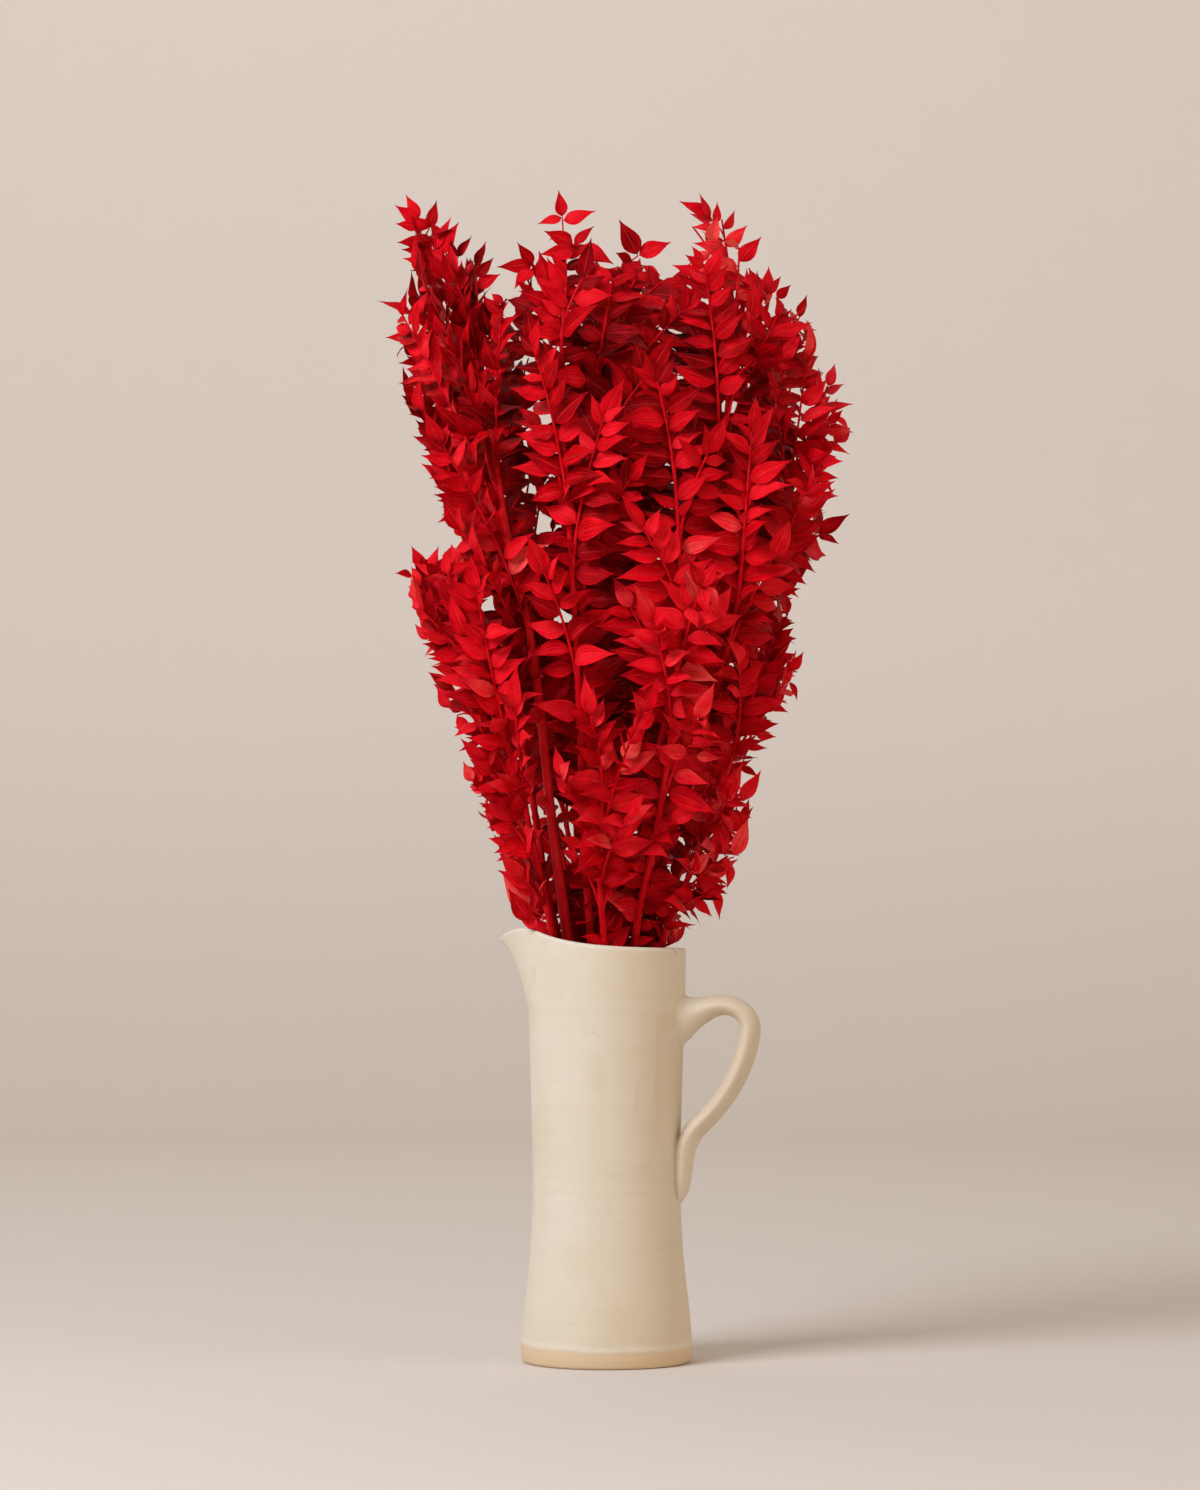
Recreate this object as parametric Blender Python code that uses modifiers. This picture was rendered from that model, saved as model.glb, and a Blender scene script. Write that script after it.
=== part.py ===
"""A tall cream stoneware jug holding a bunch of dried ruscus stems, dyed red.

The origin is the centre of the jug's foot, +Z is up, the handle is on +X and the lip on -X.
Lengths are in metres, except the stems' table, which is in millimetres.
"""

import math
import random

import bmesh
import bpy
from mathutils import Matrix, Vector
from mathutils.bvhtree import BVHTree

MM = 0.001

# Jug body: radius at each height of the outside, from the rim down to the foot.
RIM_HEIGHT = 0.2862
OUTSIDE = [
    (0.0556, 0.2835),
    (0.0553, 0.2700),
    (0.0551, 0.2540),
    (0.0538, 0.2200),
    (0.0527, 0.1880),
    (0.0518, 0.1540),
    (0.0515, 0.1200),
    (0.0531, 0.0760),
    (0.0577, 0.0315),
    (0.0595, 0.0115),
    (0.0588, 0.0020),
    (0.0570, 0.0000),
]
WALL = 0.0050
FLOOR = 0.0080
INSIDE_CORNER = 0.0505
JUG_STEPS = 32
MERGE_WITHIN = 0.00005
INSIDE_ROWS = (1, 2, 4, 6, 8)

# Lip: the rim climbs towards -X and is drawn out there into a drooping spout.
RIM_CLIMB = 0.0183
CLIMB_EVEN_SHARE = 0.15
CLIMB_POWER = 3.2
CLIMB_FROM = 0.200
CLIMB_BEND = 1.5
LIP_REACH = 0.0230
LIP_DROOP = 0.0125
LIP_HALF_ANGLE = math.radians(50)
LIP_SHARPNESS = 1.5
LIP_FROM = 0.236
LIP_EARLY_SHARE = 0.68
LIP_EARLY_BEND = 1.4
LIP_LATE_BEND = 7

# Handle: its middle line in the XZ plane as (x, z), then half its thickness in that plane and half
# its breadth along Y. It starts inside the wall under the rim and ends as a tail pressed on the body.
HANDLE_WAY = [
    (0.0512, 0.2405, 0.0180, 0.0150),
    (0.0560, 0.2406, 0.0155, 0.0125),
    (0.0620, 0.2416, 0.0118, 0.0106),
    (0.0700, 0.2442, 0.0086, 0.0098),
    (0.0800, 0.2472, 0.0070, 0.0096),
    (0.0900, 0.2478, 0.0066, 0.0096),
    (0.0985, 0.2438, 0.0066, 0.0098),
    (0.1028, 0.2350, 0.0067, 0.0100),
    (0.1020, 0.2230, 0.0067, 0.0102),
    (0.0955, 0.2040, 0.0067, 0.0104),
    (0.0845, 0.1850, 0.0066, 0.0106),
    (0.0725, 0.1712, 0.0066, 0.0108),
    (0.0625, 0.1605, 0.0070, 0.0110),
    (0.0570, 0.1490, 0.0070, 0.0114),
    (0.0552, 0.1340, 0.0062, 0.0114),
    (0.0545, 0.1210, 0.0048, 0.0098),
    (0.0525, 0.1110, 0.0022, 0.0060),
]
HANDLE_SIDES = 10

# The bunch was laid out from its front, which is turned this far from the jug's own front.
FRONT_TURN = math.radians(15)
ACROSS = Vector((math.cos(FRONT_TURN), math.sin(FRONT_TURN), 0))
AWAY = Vector((-math.sin(FRONT_TURN), math.cos(FRONT_TURN), 0))
UP = Vector((0, 0, 1))

# Stems: half their thickness, their way from the jug's mouth to the growing tip, and their side
# shoots, each given by the height at which it leaves the stem and by its own tip. Points are
# (across, away, up) in millimetres, seen from the bunch's front.
STEMS = {
    "stem_01": (
        3.1,
        [(-27, -10, 294), (-38, -35, 376), (-44, -55, 434), (-52, -70, 498), (-67, -75, 565),
         (-79, -70, 640), (-88, -55, 705), (-91, -45, 758)],
        [(545, (-131, -40, 784)), (500, (-141, -60, 722)), (590, (-70, -92, 726)), (440, (-99, -88, 570))],
    ),
    "stem_02": (
        2.6,
        [(-35, 15, 294), (-45, 5, 345), (-53, 0, 400), (-63, 0, 462), (-75, 5, 532), (-90, 10, 603),
         (-108, 15, 674), (-120, 15, 720), (-127, 10, 745)],
        [(470, (-128, -12, 662)), (540, (-96, 42, 768)), (440, (-98, 40, 608))],
    ),
    "stem_03": (
        2.2,
        [(-37, -22, 294), (-46, -40, 338), (-58, -56, 390), (-72, -66, 440), (-88, -72, 490),
         (-104, -70, 525), (-117, -67, 543)],
        [(380, (-99, -38, 478)), (410, (-88, -99, 528)), (345, (-62, -94, 448)), (312, (-74, -38, 400)),
         (300, (-60, -22, 350))],
    ),
    "stem_04": (
        2.6,
        [(-11, -15, 294), (-15, -45, 362), (-18, -70, 430), (-21, -90, 496), (-25, -100, 563),
         (-29, -100, 630), (-31, -92, 692), (-28, -82, 745), (-30, -74, 776)],
        [(640, (-56, -60, 750)), (570, (-50, -116, 692)), (520, (-2, -126, 640)), (450, (-42, -116, 538))],
    ),
    "stem_05": (
        2.8,
        [(-6, 5, 294), (-9, -10, 364), (-13, -30, 446), (-17, -58, 526), (-16, -72, 593), (-10, -76, 656),
         (2, -70, 705), (20, -60, 748)],
        [(685, (12, -45, 764)), (690, (38, -66, 744)), (580, (30, -108, 676)), (510, (15, -116, 600))],
    ),
    "stem_06": (
        2.0,
        [(-2, -38, 294), (-5, -64, 348), (-3, -86, 399), (-11, -98, 443)],
        [(330, (24, -112, 444)), (325, (-31, -90, 402)), (315, (14, -98, 374))],
    ),
    "stem_07": (
        3.0,
        [(13, 10, 294), (24, -5, 364), (40, -30, 439), (57, -55, 513), (72, -68, 587), (83, -68, 661),
         (88, -60, 717), (83, -50, 755), (72, -45, 778)],
        [(580, (66, -90, 752)), (595, (122, -50, 730)), (540, (139, -25, 712)), (650, (107, -30, 745))],
    ),
    "stem_08": (
        2.4,
        [(20, -22, 294), (31, -50, 351), (42, -80, 416), (48, -100, 482), (49, -112, 548),
         (46, -112, 602), (43, -102, 656)],
        [(455, (63, -132, 526)), (415, (30, -128, 503)), (550, (68, -116, 618)), (365, (60, -104, 440))],
    ),
    "stem_09": (
        2.8,
        [(34, 5, 294), (57, 0, 357), (80, -10, 426), (101, -24, 495), (117, -34, 556), (130, -40, 611),
         (142, -40, 645), (154, -30, 677)],
        [(500, (146, -8, 582)), (530, (147, -66, 618)), (450, (125, -50, 516)), (570, (115, -60, 660)),
         (330, (94, 6, 376))],
    ),
    "stem_10": (
        2.2,
        [(40, -13, 294), (57, -20, 336), (73, -32, 380), (89, -42, 425), (100, -47, 458), (117, -44, 505)],
        [(345, (83, -64, 389)), (355, (68, -82, 428)), (410, (90, -84, 476)), (306, (70, -6, 336))],
    ),
    "stem_11": (
        2.5,
        [(30, 18, 294), (44, -8, 364), (64, -48, 431), (82, -78, 490), (90, -96, 530), (89, -100, 594)],
        [(530, (98, -106, 634)), (470, (112, -92, 550)), (490, (110, 10, 600))],
    ),
    "stem_12": (
        2.8,
        [(-22, 30, 294), (-37, 60, 373), (-59, 85, 468), (-81, 104, 571), (-96, 108, 666),
         (-105, 95, 728), (-100, 85, 766)],
        [(470, (-118, 68, 640)), (500, (-62, 130, 700)), (400, (-104, 88, 528)), (560, (-60, 60, 740))],
    ),
    "stem_13": (
        2.8,
        [(0, 30, 294), (-3, 70, 375), (-1, 108, 480), (3, 128, 585), (5, 125, 670), (8, 108, 735),
         (12, 95, 772)],
        [(540, (50, 142, 655)), (510, (-38, 145, 615)), (620, (48, 92, 765)), (440, (5, 60, 640))],
    ),
    "stem_14": (
        2.8,
        [(24, 33, 294), (35, 60, 373), (63, 90, 468), (88, 110, 565), (105, 110, 655), (111, 92, 718),
         (107, 78, 753)],
        [(500, (150, 58, 652)), (540, (68, 132, 710)), (430, (135, 98, 560)), (560, (60, 40, 720))],
    ),
    "stem_15": (
        2.2,
        [(-14, 41, 294), (-26, 88, 360), (-38, 116, 425), (-44, 130, 480), (-47, 132, 530)],
        [(380, (-86, 108, 450)), (400, (-12, 146, 452))],
    ),
    "stem_16": (
        2.2,
        [(8, 42, 294), (14, 90, 360), (25, 118, 425), (40, 132, 490), (48, 130, 545)],
        [(370, (86, 102, 460)), (410, (14, 148, 475))],
    ),
}
# Inside the jug the stems stand in a spiral: each foot is turned this far round from its place in
# the mouth, all the same way, so that they lean past each other without touching.
FOOT_TURN = math.radians(120)
FOOT_SHARE = 0.9
FOOT_GAP = 0.0003
FOOT_LENGTH = 0.006
TIP_HALF = 1.0
TIP_SUNK = 0.002
SHOOT_HALF = 1.35
SHOOT_TIP_HALF = 0.8
SHOOT_STEPS = 4
SHOOT_FOLLOWS = 0.42

# Leaves: each section of the blade as (share of length, share of half width, rib depth).
LEAF_LENGTH = 0.0400
LEAF_HALF_WIDTH = 0.0084
LEAF_SECTIONS = [(0.26, 0.92, 0.0022), (0.60, 0.74, 0.0014)]
LEAF_CLEARANCE = 0.0005
LEAF_SPACING = 0.0285
TIP_LEAF_SHARE = 0.85
BARE_BELOW = 0.306
MOUTH_SPREAD = 0.066
SPREAD_RATE = 0.6
FACE_FORWARD = 0.35
FACE_UP = 0.35

# How leaves stand: the angle from their rod at its foot and how far it closes towards the tip, the
# spread of both, the turn of each further try, and the ranges of size and arch. Angles in degrees.
LEAF_OPENS = 84
LEAF_CLOSES = 40
OPENS_WITHIN = 12
SWINGS_WITHIN = 22
SWING_STEP = 8
LEAF_SIZES = (0.88, 1.10)
TIP_SHRINKS = 0.25
TRY_SHRINKS = 0.015
LEAF_ARCHES = (0.02, 0.08)
SUNK_SHARE = 0.5
RANKS_WITHIN = 25
RANKS_WITHIN_AT_SIDES = 75
MIDDLE_RADIUS = 0.02
TRIES = 16
SEED = 11


def clear_scene():
    """Leaves nothing of the startup scene behind."""
    for thing in list(bpy.data.objects):
        bpy.data.objects.remove(thing)


def new_collection(name):
    """A collection linked to the scene."""
    made = bpy.data.collections.new(name)
    bpy.context.scene.collection.children.link(made)
    return made


def new_material(name, colour, roughness):
    """A plain Principled material."""
    made = bpy.data.materials.new(name)
    made.use_nodes = True
    shader = made.node_tree.nodes["Principled BSDF"]
    shader.inputs["Base Color"].default_value = (*colour, 1)
    shader.inputs["Roughness"].default_value = roughness
    shader.inputs["Metallic"].default_value = 0
    return made


def evaluated_mesh(thing):
    """The mesh of an object with its modifiers or its bevel applied, and its points merged."""
    bpy.context.view_layer.update()
    seen_thing = thing.evaluated_get(bpy.context.evaluated_depsgraph_get())
    mesh = bpy.data.meshes.new_from_object(seen_thing)
    shape = bmesh.new()
    shape.from_mesh(mesh)
    bmesh.ops.remove_doubles(shape, verts=shape.verts, dist=1e-6)
    shape.to_mesh(mesh)
    shape.free()
    return mesh


def as_mesh_object(thing, collection):
    """Replaces a curve, or an object with modifiers, by a plain mesh object of the same name."""
    mesh = evaluated_mesh(thing)
    name = thing.name
    place = thing.matrix_world.copy()
    bpy.data.objects.remove(thing)
    made = bpy.data.objects.new(name, mesh)
    made.matrix_world = place
    collection.objects.link(made)
    return made


def union(thing, others):
    """Joins a whole collection to one object and removes the collection."""
    join = thing.modifiers.new("join", "BOOLEAN")
    join.operation = "UNION"
    join.operand_type = "COLLECTION"
    join.collection = others
    join.solver = "EXACT"
    joined = evaluated_mesh(thing)
    thing.modifiers.clear()
    thing.data = joined
    for other in list(others.objects):
        bpy.data.objects.remove(other)
    bpy.data.collections.remove(others)


def jug_profile():
    """The body's section: up the inside from the floor's middle, over the rim, down the outside."""
    inside = [(OUTSIDE[row][0] - WALL, OUTSIDE[row][1]) for row in (0, *INSIDE_ROWS)]
    corner = (INSIDE_CORNER, FLOOR)
    rim = (OUTSIDE[0][0] - WALL / 2, RIM_HEIGHT)
    return [(0, FLOOR), corner, *reversed(inside), rim, *OUTSIDE, (0, 0)]


def turned_body(collection):
    """The thrown body, turned about the upright axis."""
    mesh = bpy.data.meshes.new("jug")
    points = [(radius, 0, height) for radius, height in jug_profile()]
    mesh.from_pydata(points, [(i, i + 1) for i in range(len(points) - 1)], [])
    body = bpy.data.objects.new("jug", mesh)
    collection.objects.link(body)
    turn = body.modifiers.new("turn", "SCREW")
    turn.steps = JUG_STEPS
    turn.render_steps = JUG_STEPS
    turn.use_merge_vertices = True
    turn.merge_threshold = MERGE_WITHIN
    return as_mesh_object(body, collection)


def rise(value, start, end):
    """0 below start, 1 above end, straight between."""
    return min(1.0, max(0.0, (value - start) / (end - start)))


def draw_out_lip(body):
    """Lifts the rim towards -X and draws the pouring lip out of it."""
    radius_at_rim = OUTSIDE[0][0]
    for vertex in body.data.vertices:
        x, y, z = vertex.co
        turned = abs(math.pi - math.atan2(y, x) % (2 * math.pi))
        lip = (0.5 * (1 + math.cos(math.pi * min(1.0, turned / LIP_HALF_ANGLE)))) ** LIP_SHARPNESS
        towards = rise(-x, -radius_at_rim, radius_at_rim)
        climb = CLIMB_EVEN_SHARE * towards + (1 - CLIMB_EVEN_SHARE) * towards**CLIMB_POWER
        height = rise(z, CLIMB_FROM, RIM_HEIGHT) ** CLIMB_BEND
        bend = rise(z, LIP_FROM, RIM_HEIGHT)
        reach = LIP_EARLY_SHARE * bend**LIP_EARLY_BEND + (1 - LIP_EARLY_SHARE) * bend**LIP_LATE_BEND
        outward = Vector((x, y, 0)).normalized() if x or y else Vector()
        vertex.co += outward * LIP_REACH * lip * reach
        vertex.co.z += (RIM_CLIMB * climb - LIP_DROOP * lip**2) * height


def handle(collection):
    """The pulled strap: a loft of ovals whose shape changes from the root to the pressed-on tail."""
    shape = bmesh.new()
    rings = []
    last = len(HANDLE_WAY) - 1
    for i, (x, z, thick, broad) in enumerate(HANDLE_WAY):
        before = HANDLE_WAY[max(0, i - 1)]
        after = HANDLE_WAY[min(last, i + 1)]
        along = Vector((after[0] - before[0], 0, after[1] - before[1])).normalized()
        outer = Vector((-along.z, 0, along.x))
        ring = []
        for corner in range(HANDLE_SIDES):
            angle = 2 * math.pi * corner / HANDLE_SIDES
            place = Vector((x, 0, z)) + outer * thick * math.cos(angle)
            ring.append(shape.verts.new(place + Vector((0, broad * math.sin(angle), 0))))
        rings.append(ring)
    for ring, following in zip(rings, rings[1:]):
        for corner in range(HANDLE_SIDES):
            side = (corner + 1) % HANDLE_SIDES
            shape.faces.new((ring[corner], ring[side], following[side], following[corner]))
    shape.faces.new(rings[0])
    shape.faces.new(rings[-1])
    bmesh.ops.recalc_face_normals(shape, faces=shape.faces)
    bmesh.ops.triangulate(shape, faces=shape.faces)
    mesh = bpy.data.meshes.new("handle")
    shape.to_mesh(mesh)
    shape.free()
    collection.objects.link(bpy.data.objects.new("handle", mesh))


def build_jug(parts):
    """The whole jug as one fired piece."""
    body = turned_body(parts)
    draw_out_lip(body)
    added = new_collection("added to the jug")
    handle(added)
    union(body, added)
    body.data.shade_smooth()
    body.data.set_sharp_from_angle(angle=math.radians(40))
    body.data.materials.clear()
    body.data.materials.append(new_material("cream stoneware", (0.72, 0.64, 0.50), 0.62))
    return body


def seen(point):
    """A place in metres from a point of the stems' table."""
    across, away, up = point
    return (ACROSS * across + AWAY * away + UP * up) * MM


def stem_line(way, half):
    """Points of a stem's middle line from its cut foot to its tip, and half its thickness at each."""
    foot = Matrix.Rotation(FOOT_TURN, 3, "Z") @ seen(way[0]) * FOOT_SHARE
    foot.z = FLOOR + FOOT_GAP
    line = [foot, foot + UP * FOOT_LENGTH] + [seen(point) for point in way]
    last = len(line) - 1
    halves = [(half + (TIP_HALF - half) * max(0, i - 2) / (last - 2)) * MM for i in range(last + 1)]
    return line, halves


def point_at_height(line, height):
    """The place and the direction of a line where it first reaches a height."""
    for low, high in zip(line, line[1:]):
        if low.z <= height <= high.z:
            share = (height - low.z) / (high.z - low.z)
            return low.lerp(high, share), (high - low).normalized()
    return line[-1].copy(), (line[-1] - line[-2]).normalized()


def shoot_line(stem, height, tip):
    """A side shoot that leaves along its stem and bends away to its own tip."""
    start, direction = point_at_height(stem, height * MM)
    end = seen(tip)
    lead = start + direction * (end - start).length * SHOOT_FOLLOWS
    line = []
    for i in range(SHOOT_STEPS + 1):
        t = i / SHOOT_STEPS
        line.append(start * (1 - t) ** 2 + lead * 2 * t * (1 - t) + end * t**2)
    thins = (SHOOT_HALF - SHOOT_TIP_HALF) / SHOOT_STEPS
    halves = [(SHOOT_HALF - thins * i) * MM for i in range(SHOOT_STEPS + 1)]
    return line, halves


def tube(name, line, halves, sides_step, collection):
    """A tapering rod along a line, closed at both ends."""
    rod = bpy.data.curves.new(name, "CURVE")
    rod.dimensions = "3D"
    spline = rod.splines.new("POLY")
    spline.points.add(len(line) - 1)
    for point, place, half in zip(spline.points, line, halves):
        point.co = (*place, 1)
        point.radius = half
    rod.bevel_depth = 1
    rod.bevel_resolution = sides_step
    rod.use_fill_caps = True
    thing = bpy.data.objects.new(name, rod)
    collection.objects.link(thing)
    return as_mesh_object(thing, collection)


def blade(length, half_width, arch, sunk, swell=0.0):
    """One leaf along +X, as points and faces: flat above, ribbed below, arched along its length."""
    points = [Vector((-sunk, 0, 0))]
    for share, width, rib in LEAF_SECTIONS:
        x = share * length
        lift = arch * length * 4 * share * (1 - share)
        side = width * half_width + swell
        points.append(Vector((x, side, lift + swell)))
        points.append(Vector((x, -side, lift + swell)))
        points.append(Vector((x, 0, lift - rib - swell)))
    points.append(Vector((length + swell, 0, -arch * length / 2)))
    first, second, tip = 1, 4, 7
    faces = []
    for corner in range(3):
        following = (corner + 1) % 3
        faces.append((0, first + following, first + corner))
        faces.append((first + corner, first + following, second + following))
        faces.append((first + corner, second + following, second + corner))
        faces.append((second + corner, second + following, tip))
    return points, faces


def leaf_frame(root, along, face):
    """A placement whose X runs along the leaf and whose Z is the side that the blade shows."""
    across = face.cross(along).normalized()
    above = along.cross(across)
    turned = Matrix((along, across, above)).transposed().to_4x4()
    turned.translation = root
    return turned


class Growing:
    """What has grown so far, as search trees that a new leaf must stay clear of."""

    def __init__(self):
        self.grown = []

    def keep(self, leaf):
        """Remembers a leaf, if there is one."""
        if leaf:
            self.add(*leaf, None)

    def add(self, points, faces, owner):
        """Remembers a shape and what it belongs to."""
        middle = sum(points, Vector()) / len(points)
        reach = max((point - middle).length for point in points)
        self.grown.append((middle, reach, BVHTree.FromPolygons(points, faces), owner))

    def is_free(self, points, faces, owner):
        """Whether a shape clears everything but the rod that it grows from."""
        middle = sum(points, Vector()) / len(points)
        reach = max((point - middle).length for point in points)
        tree = BVHTree.FromPolygons(points, faces)
        for other_middle, other_reach, other, other_owner in self.grown:
            if other_owner == owner:
                continue
            if (other_middle - middle).length > reach + other_reach:
                continue
            if tree.overlap(other):
                return False
        return True


def facing(place):
    """The way that a leaf's face looks: out of the bunch, a little up, and to its front or back."""
    near_side = -1 if place.dot(AWAY) < 0 else 1
    return outward_at(place) + AWAY * near_side * FACE_FORWARD + UP * FACE_UP


def outward_at(place):
    """The level direction from the bunch's middle, or from its back near the middle."""
    level = Vector((place.x, place.y, 0))
    if level.length < MIDDLE_RADIUS:
        level = level - AWAY * MIDDLE_RADIUS
    return level.normalized()


def leaf_stations(line, halves):
    """Evenly spaced places for leaves: each with its direction, rod thickness and share of the way."""
    lengths = [(b - a).length for a, b in zip(line, line[1:])]
    total = sum(lengths)
    count = max(2, round(total / LEAF_SPACING))
    stations = []
    for i in range(count):
        share = (i + 0.7) / (count + 0.3)
        left = total * share
        for number, length in enumerate(lengths):
            if left <= length:
                break
            left -= length
        part_way = left / length
        start, end = line[number], line[number + 1]
        half = halves[number] + (halves[number + 1] - halves[number]) * part_way
        stations.append((start.lerp(end, part_way), (end - start).normalized(), half, share))
    return stations


def spreads_too_far(point):
    """Whether a point leaves the cone in which the bunch widens above the mouth."""
    reach = Vector((point.x, point.y)).length
    return reach > MOUTH_SPREAD + SPREAD_RATE * (point.z - BARE_BELOW)


def try_leaf(placed, size, arch, sunk, growing, owner):
    """The points and faces of a leaf at a placement, if it clears everything grown so far."""
    length = LEAF_LENGTH * size
    half = LEAF_HALF_WIDTH * size
    points, faces = blade(length, half, arch, sunk, LEAF_CLEARANCE)
    points = [placed @ point for point in points]
    if any(spreads_too_far(point) for point in points):
        return None
    if not growing.is_free(points, faces, owner):
        return None
    points, faces = blade(length, half, arch, sunk)
    return [placed @ point for point in points], faces


def grow_leaf(station, ranks, chance, growing, owner):
    """Tries a few turns of one leaf and returns its points and faces where one is free."""
    place, direction, rod_half, share = station
    for attempt in range(TRIES):
        swing = chance.uniform(-SWINGS_WITHIN, SWINGS_WITHIN) + attempt * SWING_STEP * (-1) ** attempt
        swing = math.radians(swing)
        open_angle = LEAF_OPENS - LEAF_CLOSES * share**2 + chance.uniform(-OPENS_WITHIN, OPENS_WITHIN)
        open_angle = math.radians(open_angle)
        side = Matrix.Rotation(swing, 3, direction) @ ranks
        along = (direction * math.cos(open_angle) + side * math.sin(open_angle)).normalized()
        placed = leaf_frame(place, along, facing(place))
        size = (1 - TIP_SHRINKS * share**3) * chance.uniform(*LEAF_SIZES) * (1 - TRY_SHRINKS * attempt)
        grown = try_leaf(placed, size, chance.uniform(*LEAF_ARCHES), rod_half * SUNK_SHARE, growing, owner)
        if grown:
            return grown
    return None


def rank_direction(line, chance):
    """The side to which a line's first rank of leaves points: mostly across the bunch's front."""
    direction = (line[-1] - line[0]).normalized()
    middle = (line[0] + line[-1]) / 2
    sideways = abs(outward_at(middle).dot(ACROSS))
    most = RANKS_WITHIN + (RANKS_WITHIN_AT_SIDES - RANKS_WITHIN) * sideways
    turn = Matrix.Rotation(math.radians(chance.uniform(-most, most)), 3, direction)
    level = ACROSS - direction * ACROSS.dot(direction)
    return turn @ level.normalized()


def grow_leaves(name, axes, growing, chance):
    """Sets leaves in two ranks along each of a stem's lines, and one at each tip."""
    leaves = []
    for number, (line, halves) in enumerate(axes):
        owner = (name, number)
        ranks = rank_direction(line, chance)
        tip_direction = (line[-1] - line[-2]).normalized()
        tip_root = line[-1] - tip_direction * TIP_SUNK
        placed = leaf_frame(tip_root, tip_direction, facing(tip_root))
        tries = [try_leaf(placed, TIP_LEAF_SHARE, LEAF_ARCHES[0], 0, growing, owner)]
        growing.keep(tries[0])
        for station in leaf_stations(line, halves):
            ranks = -ranks
            if station[0].z > BARE_BELOW:
                tries.append(grow_leaf(station, ranks, chance, growing, owner))
                growing.keep(tries[-1])
        leaves += [leaf for leaf in tries if leaf]
    return leaves


def faces_of(mesh):
    """A mesh's points and faces as plain lists."""
    return [vertex.co.copy() for vertex in mesh.vertices], [tuple(face.vertices) for face in mesh.polygons]


def lay_out(name, half, way, shoots, growing, parts, extras):
    """Makes the rods of one stem: the stem itself in parts, and its side shoots in extras."""
    line, halves = stem_line(way, half)
    stem = tube(name, line, halves, 1, parts)
    growing.add(*faces_of(stem.data), (name, 0))
    axes = [(line[2:], halves[2:])]
    for number, (height, tip) in enumerate(shoots, 1):
        shoot, shoot_halves = shoot_line(line, height, tip)
        rod = tube(f"{name} shoot {number}", shoot, shoot_halves, 0, extras)
        growing.add(*faces_of(rod.data), (name, number))
        axes.append((shoot, shoot_halves))
    return stem, axes


def build_stems(parts, jug):
    """Lays out every stem and shoot, grows the leaves between them, and fuses each stem."""
    chance = random.Random(SEED)
    growing = Growing()
    growing.add(*faces_of(jug.data), jug.name)
    laid = []
    for name, (half, way, shoots) in STEMS.items():
        extras = new_collection("on " + name)
        stem, axes = lay_out(name, half, way, shoots, growing, parts, extras)
        laid.append((stem, axes, extras))
    red = new_material("red dyed ruscus", (0.45, 0.004, 0.010), 0.55)
    for stem, axes, extras in laid:
        for points, faces in grow_leaves(stem.name, axes, growing, chance):
            mesh = bpy.data.meshes.new("leaf")
            mesh.from_pydata(points, [], faces)
            extras.objects.link(bpy.data.objects.new("leaf", mesh))
        union(stem, extras)
        stem.data.materials.clear()
        stem.data.materials.append(red)


def main():
    """Builds the jug and the bunch."""
    clear_scene()
    parts = new_collection("dried ruscus in a jug")
    jug = build_jug(parts)
    build_stems(parts, jug)


main()
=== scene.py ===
"""The looks of a tall cream stoneware jug holding a bunch of dried ruscus stems, dyed red.

The jug, the rods and the leaves are made here at full fineness, on the same lines as the solids that
they stand for. Lengths are in metres. The tables of stems, twigs, leaves, edges and gaps, which were
laid out from the bunch's front, are in millimetres.
"""

import itertools
import math
import random

import bmesh
import bpy
import numpy as np
from mathutils import Matrix, Vector
from mathutils.bvhtree import BVHTree


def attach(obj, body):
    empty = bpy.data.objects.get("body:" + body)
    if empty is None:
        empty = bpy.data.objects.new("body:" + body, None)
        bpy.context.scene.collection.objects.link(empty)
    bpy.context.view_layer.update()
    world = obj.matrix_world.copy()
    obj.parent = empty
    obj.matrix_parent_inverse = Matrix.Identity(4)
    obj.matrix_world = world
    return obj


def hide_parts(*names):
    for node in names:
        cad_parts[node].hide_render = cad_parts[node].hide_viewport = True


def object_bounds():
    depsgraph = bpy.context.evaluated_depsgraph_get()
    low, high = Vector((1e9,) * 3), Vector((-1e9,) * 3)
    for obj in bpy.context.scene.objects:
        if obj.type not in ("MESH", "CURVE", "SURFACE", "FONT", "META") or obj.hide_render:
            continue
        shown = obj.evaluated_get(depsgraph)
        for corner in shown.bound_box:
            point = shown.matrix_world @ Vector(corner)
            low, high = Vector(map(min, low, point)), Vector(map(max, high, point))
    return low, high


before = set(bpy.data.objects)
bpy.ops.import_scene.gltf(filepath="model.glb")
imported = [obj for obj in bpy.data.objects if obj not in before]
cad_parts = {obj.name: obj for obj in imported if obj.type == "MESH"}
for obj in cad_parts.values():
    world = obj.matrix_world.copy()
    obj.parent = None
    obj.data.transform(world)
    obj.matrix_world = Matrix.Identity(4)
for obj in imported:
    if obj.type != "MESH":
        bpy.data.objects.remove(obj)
cad_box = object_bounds()

MM = 0.001

# Points worked out between two given points of a smooth line, before it is spaced evenly.
SPAN_POINTS = 24

# The bunch was laid out from its front, which is turned this far from the jug's own front.
FRONT_TURN = math.radians(15)
ACROSS = Vector((math.cos(FRONT_TURN), math.sin(FRONT_TURN), 0))
AWAY = Vector((-math.sin(FRONT_TURN), math.cos(FRONT_TURN), 0))
UP = Vector((0, 0, 1))

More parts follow.
